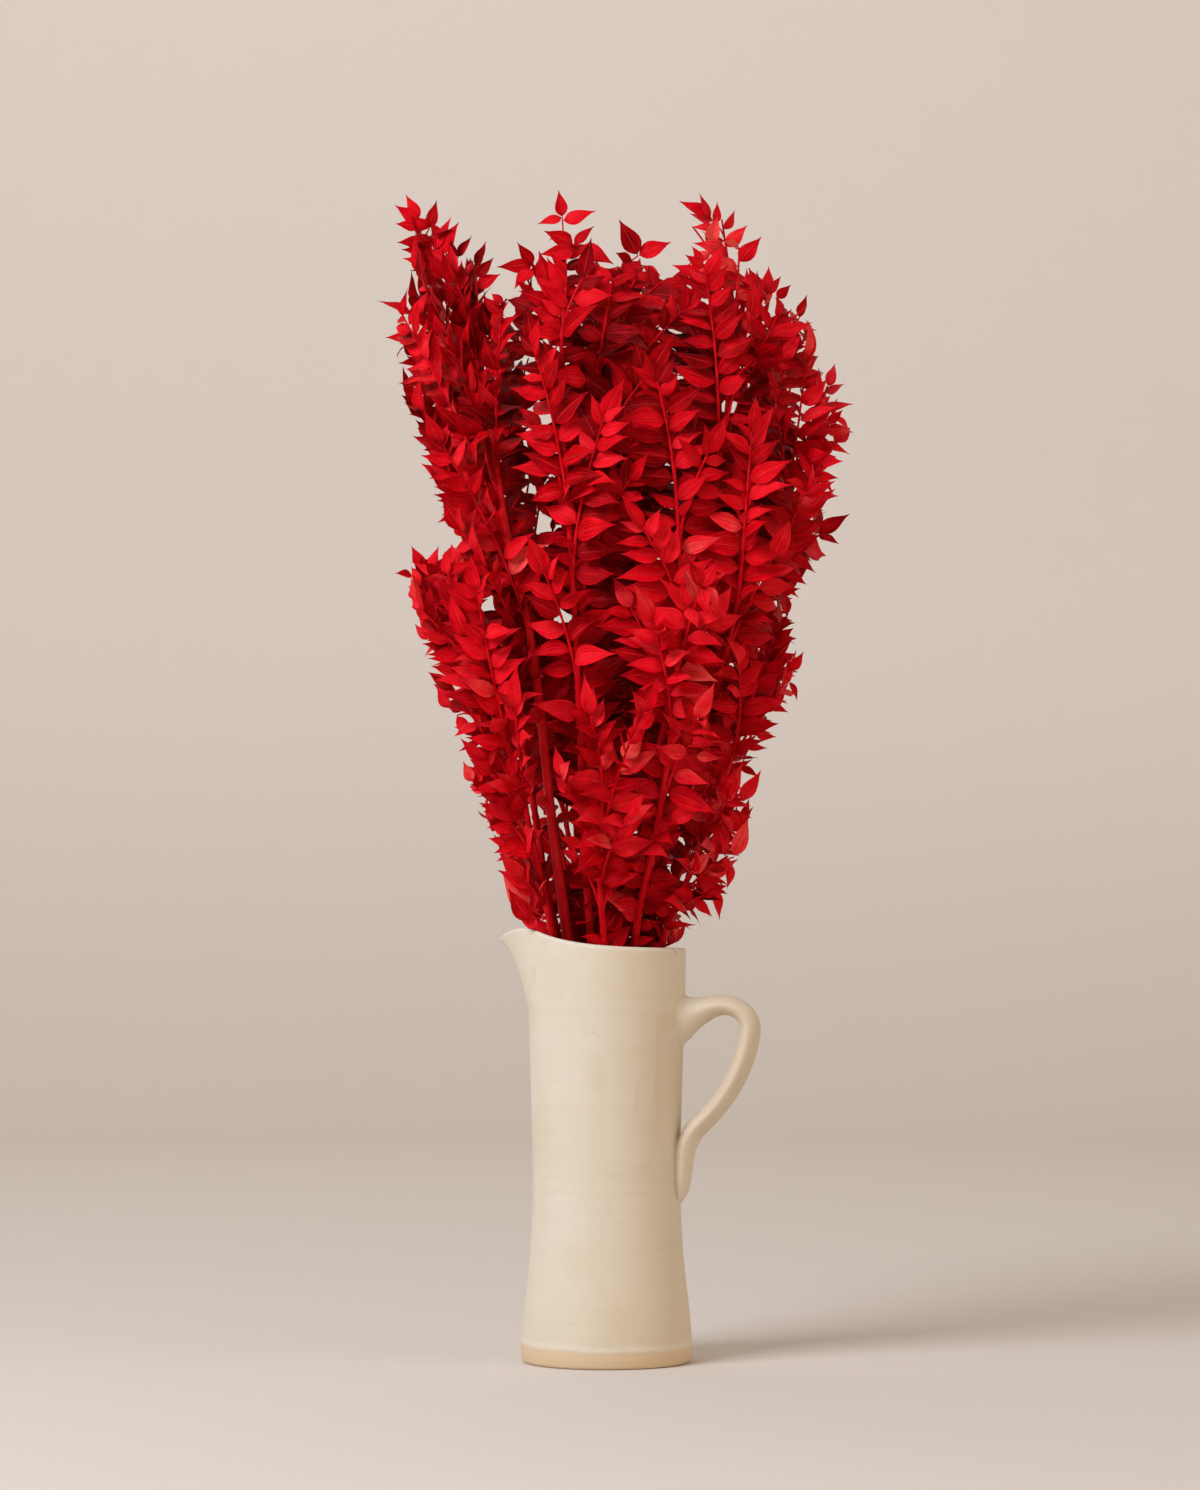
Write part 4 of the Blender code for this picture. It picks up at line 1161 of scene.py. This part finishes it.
class Rod:
    """A stem or a shoot with the leaves that it bears."""

    def __init__(self, name, number, line, halves):
        self.owner = (name, number)
        self.line, self.halves = line, halves
        self.run = np.concatenate([[0], np.cumsum(np.linalg.norm(np.diff(line, axis=0), axis=1))])
        self.leaves = []
        self.taken = []
        self.opens, self.turns, self.unruly = HABITS.get(name, USUAL_HABIT)
        bare_below = BARE_UNTIL if self.owner == (BARE_STEM, 0) else BARE_BELOW
        start = self.run[max(0, int(np.argmax(line[:, 2] > bare_below)))]
        leafy = self.run[-1] - start
        count = max(3, round(leafy / LEAF_SPACING))
        shares = 1 - (1 - (np.arange(count) + 0.5) / (count + 0.1)) ** TIP_CROWDS
        self.knots = (start + leafy * shares).tolist()

    def place(self, at):
        """The point and the direction of growth at a length along the rod."""
        index = min(len(self.line) - 2, max(1, int(np.searchsorted(self.run, at))))
        point = Vector([np.interp(at, self.run, self.line[:, k]) for k in range(3)])
        return point, Vector(self.line[index + 1] - self.line[index - 1]).normalized()

    def first_rank(self, chance):
        """The side to which the first leaf points: mostly across the bunch's front."""
        direction = Vector(self.line[-1] - self.line[0]).normalized()
        sideways = abs(outward_at(Vector(self.line[-1])).dot(ACROSS))
        most = RANKS_WITHIN + (RANKS_WITHIN_AT_SIDES - RANKS_WITHIN) * sideways
        turn = Matrix.Rotation(math.radians(chance.uniform(-most, most)), 3, direction)
        return turn @ (ACROSS - direction * ACROSS.dot(direction)).normalized()

    def set_shown(self, index, across, up, grown, chance):
        """Sets one leaf from a point of the rod to where its tip shows from the front."""
        root = Vector(self.line[index])
        for attempt in range(TRIES):
            spread = SHOWN_DEPTH_WITHIN + SHOWN_DEPTH_GROWS * attempt
            away = root.dot(AWAY) / MM + chance.gauss(SHOWN_NEARER, spread)
            reach = shown_tip(across, up, away) - root
            form = draw_form(chance, 1, paleness(root + reach))
            form["length"] = float(np.clip(reach.length, *SHOWN_LENGTHS)) * SHOWN_SLACK
            form["half"] = form["length"] * SHOWN_HALF_SHARE * chance.uniform(0.9, 1.1)
            for bend, within in zip(("droop", "curl"), SHOWN_BENDS_WITHIN):
                form[bend] = math.radians(chance.gauss(SHOWN_BENDS, within))
            form["skew"] *= 0.5
            form["fold"] *= SHOWN_FLATTER
            form["twist"] *= SHOWN_FLATTER
            along = reach.normalized()
            face = facing(root) - AWAY * SHOWN_FORWARD
            face = Matrix.Rotation(math.radians(chance.gauss(0, SHOWN_TILTS_WITHIN)), 3, along) @ face
            placed = leaf_frame(root, along, face)
            if try_leaf(form, placed, grown, self.owner, anywhere=True):
                self.leaves.append((form, placed))
                self.taken.append(self.run[index])
                return

    def grow_tip(self, grown, chance):
        """Sets the last leaf, in line with the rod, where no leaf stands yet."""
        if self.taken and self.run[-1] - max(self.taken) < TIP_TAKEN:
            return
        point, direction = self.place(self.run[-1])
        for attempt in range(TRIES):
            lean = Vector([chance.gauss(0, TIP_LEANS + TIP_LEANS * attempt) for _ in range(3)])
            along = (direction + lean).normalized()
            size = chance.uniform(*TIP_SIZES) * (1 - TRY_SHRINKS * attempt)
            form = draw_form(chance, size, paleness(point))
            form["half"] *= 1 - TIP_NARROWS
            placed = leaf_frame(point - direction * TIP_SUNK, along, facing(point))
            if try_leaf(form, placed, grown, self.owner):
                self.leaves.append((form, placed))
                return

    def grow(self, grown, chance):
        """Sets leaves in two ranks from the tip down to the base."""
        side = self.first_rank(chance)
        turns = math.radians(chance.choice((-1, 1)) * self.turns * chance.uniform(0.6, 1.2))
        for number in range(len(self.knots) - 1, -1, -1):
            at = self.knots[number]
            if any(abs(at - other) < SHOWN_APART for other in self.taken):
                continue
            point, direction = self.place(at)
            share = at / self.run[-1]
            turn = Matrix.Rotation(turns * share + math.pi * (number % 2), 3, direction)
            rank = turn @ (side - direction * side.dot(direction)).normalized()
            leaf = self.grow_leaf(point, direction, rank, share, grown, chance)
            if leaf:
                self.leaves.append(leaf)

    def grow_leaf(self, point, direction, rank, share, grown, chance):
        """Tries a few turns of one leaf and returns its form and placement where one is free."""
        for attempt in range(TRIES):
            swing = chance.gauss(0, SWINGS_WITHIN * self.unruly)
            swing += attempt // 2 * SWING_STEP * (-1) ** (attempt // 2)
            opens = self.opens + (LEAF_CLOSES - self.opens) * share**2.4
            opens = math.radians(opens + chance.gauss(0, OPENS_WITHIN * self.unruly))
            turned = Matrix.Rotation(math.radians(swing), 3, direction) @ rank
            along = (direction * math.cos(opens) + turned * math.sin(opens)).normalized()
            tilt = math.radians(chance.gauss(0, TILTS_WITHIN * self.unruly))
            face = Matrix.Rotation(tilt, 3, along) @ facing(point)
            size = (1 - TIP_SHRINKS * share**3) * chance.uniform(*LEAF_SIZES) * (1 - TRY_SHRINKS * attempt)
            form = draw_form(chance, size, paleness(point))
            form["half"] *= 1 - TIP_NARROWS * share**2
            placed = leaf_frame(point, along, face)
            if try_leaf(form, placed, grown, self.owner):
                return form, placed
        return None


def set_shown_leaves(stem, marks, grown, chance):
    """Sets the leaves that show plainly, each on the nearest rod, or on a slight twig that grows from it."""
    for root_across, root_up, tip_across, tip_up in marks:
        nearest = []
        for number, rod in enumerate(stem):
            across, up = from_front(rod.line)
            far = np.hypot(across - root_across, up - root_up)
            nearest.append((float(far.min()), number, int(far.argmin())))
        far, number, index = min(nearest)
        rod = stem[number]
        if far > SHOWN_TWIG_FROM:
            end = shown_tip(root_across, root_up, Vector(rod.line[index]).dot(AWAY) / MM)
            line = bent_shoot(rod.line, max(1, index - TWIG_RUNS_BACK), end)
            rod = Rod(rod.owner[0], len(stem), line, np.linspace(*TWIG_HALVES, len(line)) * MM)
            rod.knots = []
            remember_rod(rod, grown)
            stem.append(rod)
            index = len(line) - 1
        rod.set_shown(index, tip_across, tip_up, grown, chance)


def try_leaf(form, placed, grown, owner, anywhere=False):
    """Whether a leaf is free at a placement; a free one is remembered."""
    surface, _ = blade_surface([form], TEST_ROWS, TEST_COLUMNS)
    points = placed_points(surface, [placed])[0].reshape(-1, 3)
    outside = (points < BOX_LOW) | (points > BOX_HIGH)
    if outside.any() or not anywhere and shows_wrongly(points) or grown.crosses(points, TEST_FACES, owner):
        return False
    grown.add(points, TEST_FACES, None)
    return True


def rod_rings(line, halves, sides):
    """Rings of points round a line, turned as little as possible from one to the next."""
    along = np.gradient(line, axis=0)
    along /= np.linalg.norm(along, axis=1, keepdims=True)
    normal = np.cross(along[0], (0.3, 1.0, 0.2))
    angles = np.linspace(0, 2 * math.pi, sides, endpoint=False)
    rings = []
    for place, direction, half in zip(line, along, halves):
        normal = normal - direction * normal.dot(direction)
        normal = normal / np.linalg.norm(normal)
        other = np.cross(direction, normal)
        rings.append(place + half * (np.cos(angles)[:, None] * normal + np.sin(angles)[:, None] * other))
    return np.array(rings)


def swelling(rod):
    """How much thicker a rod is at each of its points: a little where a leaf stands."""
    gaps = rod.run[:, None] - np.array(rod.knots).reshape(1, -1)
    return 1 + KNOT_SWELL * np.exp(-((gaps / KNOT_LENGTH) ** 2)).sum(axis=1)


def rods_mesh(name, stem):
    """One mesh of a stem's rods, with the way round and along each rod as UVs."""
    points, faces, places, paler = [], [], [], []
    for rod in stem:
        sides = SHOOT_SIDES if rod.owner[1] > 0 else STEM_SIDES
        count = len(rod.line)
        rings = rod_rings(rod.line, rod.halves * swelling(rod), sides)
        first = len(points)
        points += rings.reshape(-1, 3).tolist()
        # The bare stem and its stub get painted light, as they stand in the shade of the leaves before them.
        paler += [BARE_PAINTED_LIGHT if rod.owner in ((BARE_STEM, 0), (BARE_STEM, -1)) else 0] * (count * sides)
        faces += [tuple(first + corner for corner in face) for face in grid_faces(count, sides, True)]
        last = first + (count - 1) * sides
        faces.append(tuple(range(first + sides - 1, first - 1, -1)))
        faces.append(tuple(range(last, last + sides)))
        for row in range(count - 1):
            for side in range(sides):
                low, high = side / sides, (side + 1) / sides
                near, far = rod.run[row], rod.run[row + 1]
                places += [(low, near), (high, near), (high, far), (low, far)]
        places += [(0.5, 0)] * sides + [(0.5, rod.run[-1])] * sides
    mesh = bpy.data.meshes.new(name)
    mesh.from_pydata(points, [], faces)
    mesh.uv_layers.new(name="Rod").data.foreach_set("uv", np.array(places, np.float32).ravel())
    mark_points(mesh, "paler", paler)
    mesh.shade_smooth()
    mesh.set_sharp_from_angle(angle=math.radians(50))
    return mesh


def pruned_stub(stem):
    """The short stump of a shoot that was cut off."""
    line = shoot_line(stem, *STUB)
    stub = Rod(BARE_STEM, -1, line, np.full(len(line), STUB_HALF * MM))
    stub.knots = []
    return stub


def remember_rod(rod, grown):
    """Remembers a rod as coarse tubes that no other rod's leaf may cross."""
    for start in range(0, len(rod.line) - 1, TESTED_PIECE):
        piece = slice(start, start + TESTED_PIECE + 1, TESTED_STEP)
        if len(rod.line[piece]) > 1:
            rings = rod_rings(rod.line[piece], rod.halves[piece], TESTED_SIDES)
            grown.add(rings.reshape(-1, 3), grid_faces(len(rings), TESTED_SIDES, True), rod.owner)


def planted_stems(grown):
    """Every stem's rods, still bare, by the stem's name."""
    stems = {}
    for name, (half, way, shoots) in STEMS.items():
        rods = rods_of(way, half, shoots + TWIGS[name])
        stems[name] = [Rod(name, number, line, halves) for number, (line, halves) in enumerate(rods)]
        if name == BARE_STEM:
            stems[name].append(pruned_stub(rods[0][0]))
        for rod in stems[name]:
            remember_rod(rod, grown)
    return stems


def grow_leaves(stems, grown):
    """Grows the leaves that show plainly, then those at the rods' tips, then all the others."""
    chance = random.Random(SEED)
    for name, marks in SHOWN_LEAVES.items():
        set_shown_leaves(stems[name], marks, grown, chance)
    rods = [rod for stem in stems.values() for rod in stem]
    for rod in rods:
        if rod.knots:
            rod.grow_tip(grown, chance)
    for rod in rods:
        rod.grow(grown, chance)


def build_bunch():
    """Grows every stem and makes its two pieces, its leaves and its rods."""
    grown = Grown()
    grown.add(*solid_faces("jug"), "jug")
    stems = planted_stems(grown)
    grow_leaves(stems, grown)
    leaf_finish, rod_finish = dyed_leaf(), dyed_rod()
    for name, stem in stems.items():
        leaves = [leaf for rod in stem for leaf in rod.leaves]
        foliage = new_object(name + "_leaves", leaves_mesh(name + "_leaves", leaves))
        stalks = new_object(name + "_rods", rods_mesh(name + "_rods", stem))
        for piece, finish in ((foliage, leaf_finish), (stalks, rod_finish)):
            piece.data.materials.append(finish)
            dress(piece, [name])


def solid_faces(name):
    """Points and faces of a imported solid."""
    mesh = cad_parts[name].data
    return [tuple(v.co) for v in mesh.vertices], [tuple(face.vertices) for face in mesh.polygons]


class Value:
    """An output in a tree of shader nodes; the signs of arithmetic add Math nodes behind it."""

    def __init__(self, tree, socket):
        self.tree, self.socket = tree, socket

    def maths(self, operation, other=0.0):
        """The result of a Math node on this value and another."""
        return self.tree.add("ShaderNodeMath", [0], {0: self, 1: other}, operation=operation)

    def __add__(self, other):
        return self.maths("ADD", other)

    def __sub__(self, other):
        return self.maths("SUBTRACT", other)

    def __mul__(self, other):
        return self.maths("MULTIPLY", other)

    def __abs__(self):
        return self.maths("ABSOLUTE")

    def stepped(self, low, high, to_low=0.0, to_high=1.0):
        """A smooth step of this value from one level to another."""
        levels = {0: self, 1: low, 2: high, 3: to_low, 4: to_high}
        return self.tree.add("ShaderNodeMapRange", [0], levels, interpolation_type="SMOOTHSTEP")


class Tree:
    """A tree of shader nodes."""

    def __init__(self, tree):
        self.tree = tree

    def feed(self, socket, value):
        """Gives a socket a value, or links an output to it."""
        if isinstance(value, Value):
            self.tree.links.new(value.socket, socket)
        else:
            socket.default_value = value

    def add(self, kind, wanted, inputs=None, **settings):
        """Adds a node and gives its wanted outputs; inputs maps its sockets to values or outputs."""
        node = self.tree.nodes.new(kind)
        for name, value in settings.items():
            setattr(node, name, value)
        for name, value in (inputs or {}).items():
            self.feed(node.inputs[name], value)
        found = [Value(self, node.outputs[name]) for name in wanted]
        return found[0] if len(found) == 1 else found

    def attribute(self, name):
        """A value that the mesh carries at its points."""
        return self.add("ShaderNodeAttribute", ["Fac"], attribute_name=name)

    def split(self, place):
        """A place's three coordinates."""
        return self.add("ShaderNodeSeparateXYZ", "XYZ", {0: place})

    def noise(self, place, scale, detail, roughness=0.5):
        """Soft noise over a place; three scales stretch it along the axes."""
        if isinstance(scale, tuple):
            place = self.add("ShaderNodeMapping", [0], {"Vector": place, "Scale": scale})
            scale = 1.0
        inputs = {"Vector": place, "Scale": scale, "Detail": detail, "Roughness": roughness}
        return self.add("ShaderNodeTexNoise", [0], inputs)

    def ramp(self, share, stops):
        """A colour ramp over (place, colour) stops."""
        made = self.add("ShaderNodeValToRGB", [0], {0: share})
        elements = made.socket.node.color_ramp.elements
        while len(elements) < len(stops):
            elements.new(0.5)
        for element, (place, colour) in zip(elements, stops):
            element.position = place
            element.color = (*colour, 1)
        return made


class Finish(Tree):
    """A material whose colour is built up tint over tint."""

    def __init__(self, name):
        self.material = bpy.data.materials.new(name)
        self.material.use_nodes = True
        super().__init__(self.material.node_tree)
        self.shader = self.tree.nodes["Principled BSDF"].inputs
        self.place = self.add("ShaderNodeTexCoord", ["Object"])
        self.colour = None

    def tint(self, share, colour):
        """Mixes a share of a further colour into the colour."""
        inputs = {0: share, 6: self.colour, 7: (*colour, 1)}
        self.colour = self.add("ShaderNodeMix", [2], inputs, data_type="RGBA")

    def between(self, value, low, high):
        """A value from 0 to 1 spread between two levels."""
        return self.add("ShaderNodeMapRange", [0], {0: value, 3: low, 4: high})

    def done(self, rough, specular, relief=None, strength=0.0, depth=0.0):
        """Feeds the shader and gives the material."""
        self.feed(self.shader["Base Color"], self.colour)
        self.feed(self.shader["Roughness"], rough)
        self.feed(self.shader["Specular IOR Level"], specular)
        if relief is not None:
            inputs = {"Height": relief, "Strength": strength, "Distance": depth}
            self.feed(self.shader["Normal"], self.add("ShaderNodeBump", [0], inputs))
        return self.material


class Dyed(Finish):
    """A dyed piece of the plant, with fibres along it and a red sheen."""

    def __init__(self, name, uv, seed, count, length):
        super().__init__(name)
        across, along, _ = self.split(self.add("ShaderNodeUVMap", [0], uv_map=uv))
        inputs = {"Across": across, "Along": along, "Count": count, "Length": length}
        inputs["Seed"] = self.attribute(seed) if isinstance(seed, str) else seed
        self.across, self.along = across, along
        self.ridges, self.fibres = self.add("ShaderNodeGroup", ("Ridges", "Fibres"), inputs, node_tree=FIBRES)
        self.feed(self.shader["Specular Tint"], (1.0, 0.26, 0.30, 1))


def fibres_group():
    """Streaks along a leaf or a rod: regular ridges with uneven fibres between them."""
    group = bpy.data.node_groups.new("lengthwise fibres", "ShaderNodeTree")
    given = ("Across", "Along", "Seed", "Count", "Length")
    for name in given:
        group.interface.new_socket(name, in_out="INPUT", socket_type="NodeSocketFloat")
    for name in ("Ridges", "Fibres"):
        group.interface.new_socket(name, in_out="OUTPUT", socket_type="NodeSocketFloat")
    tree = Tree(group)
    across, along, seed, count, length = tree.add("NodeGroupInput", given)
    crosswise = across * count
    place = tree.add("ShaderNodeCombineXYZ", [0], {0: crosswise, 1: along * length, 2: seed * 91.0})
    fibres = tree.noise(place, 1.0, 3.0, 0.6)
    ridges = ((crosswise + fibres * 1.3) * (2 * math.pi)).maths("COSINE") * 0.5 + 0.5
    tree.add("NodeGroupOutput", [], {"Ridges": ridges, "Fibres": fibres})
    return group


def dyed_leaf():
    """Dried leaf dyed red: tones from wine to coral, parallel veins, a midrib and a satin skin."""
    leaf = Dyed("dyed_leaf", "Blade", "seed", 8.0, 1.3)
    ridges, fibres, along = leaf.ridges, leaf.fibres, leaf.along
    from_middle = abs(leaf.across - 0.5)
    midrib = from_middle.stepped(0.010, 0.045, 1.0, 0.0)
    blotch = leaf.noise(leaf.place, 95.0, 3.0)
    # The tone attribute holds each leaf's own tone together with the painted light and shade by place.
    varied = leaf.attribute("tone") + (blotch - 0.5) * 0.55 + (fibres - 0.5) * 0.52 + (ridges - 0.5) * 0.17
    leaf.colour = leaf.ramp(varied, [
        (0.0, (0.130, 0.0002, 0.0010)), (0.22, (0.370, 0.0004, 0.0026)), (0.48, (0.730, 0.0014, 0.0080)),
        (0.76, (0.905, 0.0150, 0.0270)), (1.0, (0.940, 0.1100, 0.0850))])
    leaf.tint(midrib * 0.32, (0.92, 0.045, 0.042))
    leaf.tint(from_middle.stepped(0.44, 0.5) * 0.20, (0.34, 0.002, 0.004))
    # Darker towards the dried tip, and painted shade at the root, where the leaves overlap.
    ends = along.stepped(0.88, 1.0, 0.0, 0.30) + along.stepped(0.04, 0.30, 0.26, 0.0)
    leaf.tint(ends, (0.22, 0.001, 0.002))
    relief = ridges * 0.45 + fibres * 0.6 - midrib * 0.9
    return leaf.done(leaf.between(fibres, 0.44, 0.62), 0.13, relief, 0.8, 0.00035)


def dyed_rod():
    """Dried stem dyed red: fine lengthwise ridges, painted light on the bare stem, a darker, browner cut
    foot.
    """
    rod = Dyed("dyed_rod", "Rod", 0.4, 8.0, 38.0)
    # The paler attribute is painted light on the bare stem, which stands in the leaves' shade.
    varied = rod.noise(rod.place, 60.0, 3.0) * 0.7 + rod.fibres * 0.3 + rod.attribute("paler")
    rod.colour = rod.ramp(varied, [
        (0.25, (0.400, 0.0008, 0.0030)), (0.5, (0.680, 0.0016, 0.0080)), (0.75, (0.880, 0.0160, 0.0220)),
        (1.0, (0.930, 0.0500, 0.0480))])
    rod.tint(rod.split(rod.place)[2].stepped(0.02, 0.25, 0.75, 0.0), (0.110, 0.0120, 0.0080))
    return rod.done(0.46, 0.16, rod.ridges + rod.fibres * 0.5, 0.5, 0.0003)


def near_mark(angle, height, mark):
    """How near the surface is to a stain: its strength at its middle, 0 outside it."""
    turn, up, half_breadth, half_height, strength = mark
    aside = (angle - math.radians(turn)) * (OUTSIDE[0][0] / (half_breadth * MM))
    above = (height - up) * (1 / (half_height * MM))
    return (aside * aside + above * above).maths("SQRT").stepped(0.3, 1.3, strength, 0.0)


def near_crack(angle, height, waver):
    """1 along the short crack at the rim, 0 elsewhere."""
    (turn, top), (last_turn, bottom) = CRACK
    half = CRACK_HALF / OUTSIDE[0][0]
    down = (height - top) * (1 / (bottom - top))
    wanted = down * math.radians(last_turn - turn) + math.radians(turn) + waver * 0.05
    return abs(angle - wanted).stepped(half, 2.2 * half, 1.0, 0.0) * down.stepped(0.8, 1.0, 1.0, 0.0)


def glazed_stoneware():
    """Matt cream glaze over a warm clay foot, with faint rings, stains, specks and pits."""
    glaze = Finish("glazed_stoneware")
    x, y, height = glaze.split(glaze.place)
    angle = y.maths("ARCTAN2", x)
    cloud = glaze.noise(glaze.place, 13.0, 4.0, 0.55)
    bands = glaze.noise(glaze.place, (5.0, 5.0, 150.0), 3.0)
    runs = glaze.noise(glaze.place, (46.0, 46.0, 9.0), 3.0)
    fine = glaze.noise(glaze.place, 420.0, 2.0)
    grain = glaze.noise(glaze.place, 650.0, 3.0)

    # The cream itself, with painted warm light on the side towards the handle, warmer towards the foot, with
    # throwing rings and runs.
    glaze.colour = glaze.ramp(cloud, [
        (0.30, (0.776, 0.702, 0.574)), (0.52, (0.750, 0.668, 0.528)), (0.72, (0.696, 0.590, 0.434))])
    # Painted warm light on the side towards the handle, where the warm fill lamp falls.
    glaze.tint(x.stepped(-0.045, 0.045, 0.0, 0.30), (0.715, 0.565, 0.375))
    glaze.tint(height.stepped(0.015, 0.110, 0.32, 0.0), (0.720, 0.600, 0.430))
    glaze.tint(bands.stepped(0.50, 0.75, 0.0, 0.13), (0.66, 0.54, 0.38))
    glaze.tint(runs.stepped(0.50, 0.72, 0.0, 0.20), (0.68, 0.555, 0.400))

    # Stains, mottling and specks.
    for mark in STAINS:
        glaze.tint(near_mark(angle, height, mark), (0.56, 0.37, 0.20))
    glaze.tint(fine.stepped(0.55, 0.8, 0.0, 0.25), (0.62, 0.50, 0.36))
    inputs = {"Vector": glaze.place, "Scale": 190.0}
    distance, cell = glaze.add("ShaderNodeTexVoronoi", ("Distance", "Color"), inputs, feature="F1")
    speck = distance.stepped(0.05, 0.11, 1.0, 0.0) * glaze.split(cell)[0].stepped(0.86, 0.88)
    glaze.tint(speck * 0.55, (0.36, 0.22, 0.12))

    # The glaze thins on the handle, and ends in a thick edge over the bare foot.
    glaze_line = height + (cloud - 0.5) * 0.009
    glaze.tint(x.stepped(0.060, 0.074, 0.0, 0.42), (0.650, 0.520, 0.360))
    foot = glaze_line.stepped(0.0101, 0.0132, 0.88, 0.0)
    glaze.tint(foot, (0.732, 0.534, 0.325))
    thick_edge = glaze_line.stepped(0.0118, 0.0135) * glaze_line.stepped(0.0145, 0.0175, 1.0, 0.0)
    glaze.tint(thick_edge * 0.35, (0.83, 0.76, 0.64))

    # A pale rim with its crack, and a darker line where the handle meets the body.
    glaze.tint(glaze.attribute("rim").stepped(0.35, 1.0) * 0.45, (0.84, 0.77, 0.66))
    crack = near_crack(angle, height, fine - 0.5)
    glaze.tint(crack * 0.60, (0.24, 0.16, 0.10))
    glaze.tint(glaze.attribute("joint").stepped(0.75, 1.0, 0.0, 0.12), (0.45, 0.33, 0.21))

    relief = bands * 0.8 + grain * 0.22 - speck * 0.5 - (foot * 0.8 + crack) + thick_edge * 0.5
    return glaze.done(glaze.between(bands, 0.50, 0.66), 0.35, relief, 0.35, 0.0006)


def pale_floor():
    """Plain matt floor that grows a little paler where it turns up into the wall."""
    floor = Finish("pale_floor")
    floor.colour = (0.74, 0.675, 0.61, 1)
    floor.tint(floor.split(floor.place)[2].stepped(0.0, 1.0), (0.87, 0.80, 0.75))
    return floor.done(0.9, 0.1)


def build_floor():
    """A round floor whose far edge turns up into a plain wall all round."""
    flat, bend, wall = 3.2, 1.2, 5.0
    bend_steps, steps = 12, 96
    profile = [(0.5, 0.0), (1.5, 0.0), (flat, 0.0)]
    for i in range(1, bend_steps + 1):
        angle = math.pi / 2 * i / bend_steps
        profile.append((flat + bend * math.sin(angle), bend * (1 - math.cos(angle))))
    profile.append((flat + bend, wall))
    points = []
    for radius, height in profile:
        for step in range(steps):
            angle = 2 * math.pi * step / steps
            points.append((radius * math.cos(angle), radius * math.sin(angle), height))
    faces = [face[::-1] for face in grid_faces(len(profile), steps, True)]
    faces.append(tuple(range(steps)))
    mesh = bpy.data.meshes.new("floor")
    mesh.from_pydata(points, [], faces)
    mesh.shade_smooth()
    mesh.materials.append(pale_floor())
    floor = new_object("floor", mesh)
    floor.location.z = -FLOOR_GAP


def soft_light(name, place, target, size, power, colour):
    """A large square lamp; its place and target are (across, away, up) in metres."""
    lamp = bpy.data.lights.new(name, "AREA")
    lamp.shape = "SQUARE"
    lamp.size = size
    lamp.energy = power
    lamp.color = colour
    made = bpy.data.objects.new(name, lamp)
    made.location = ACROSS * place[0] + AWAY * place[1] + UP * place[2]
    aim = ACROSS * target[0] + AWAY * target[1] + UP * target[2]
    made.rotation_euler = (aim - made.location).to_track_quat("-Z", "Y").to_euler()
    bpy.context.scene.collection.objects.link(made)


def light_the_scene():
    """Soft studio light: a large key from the front left and high, a faint fill, a wash on the wall."""
    middle = (0, 0, 0.45)
    soft_light("key", (-1.7, -1.7, 2.0), middle, 1.4, 67, (0.90, 0.965, 1.07))
    soft_light("fill", (2.4, -1.2, 1.2), middle, 2.0, 14, (1.0, 0.80, 0.57))
    soft_light("wash", (-0.6, 1.7, 3.3), (0.2, 4.4, 1.0), 2.0, 27, (1.0, 0.98, 0.96))
    world = bpy.data.worlds.new("studio")
    world.use_nodes = True
    background = world.node_tree.nodes["Background"]
    background.inputs["Color"].default_value = (1.0, 0.955, 0.92, 1)
    background.inputs["Strength"].default_value = 0.385
    bpy.context.scene.world = world
    bpy.context.scene.view_settings.view_transform = "Standard"


def place_camera():
    """The camera at the viewing angle of the bunch's front, looking slightly up."""
    lens = bpy.data.cameras.new("camera")
    lens.sensor_fit = "AUTO"
    lens.sensor_width = SENSOR
    lens.lens = SENSOR * FOCUS_PIXELS / LONG_SIDE
    camera = bpy.data.objects.new("camera", lens)
    camera.location = -AWAY * CAMERA_DISTANCE + ACROSS * CAMERA_ASIDE + UP * CAMERA_HEIGHT
    camera.rotation_euler = (math.pi / 2 + LOOK_UP, 0, FRONT_TURN)
    bpy.context.scene.collection.objects.link(camera)
    bpy.context.scene.camera = camera


FIBRES = fibres_group()
place_camera()
light_the_scene()
build_floor()
build_jug()
build_bunch()
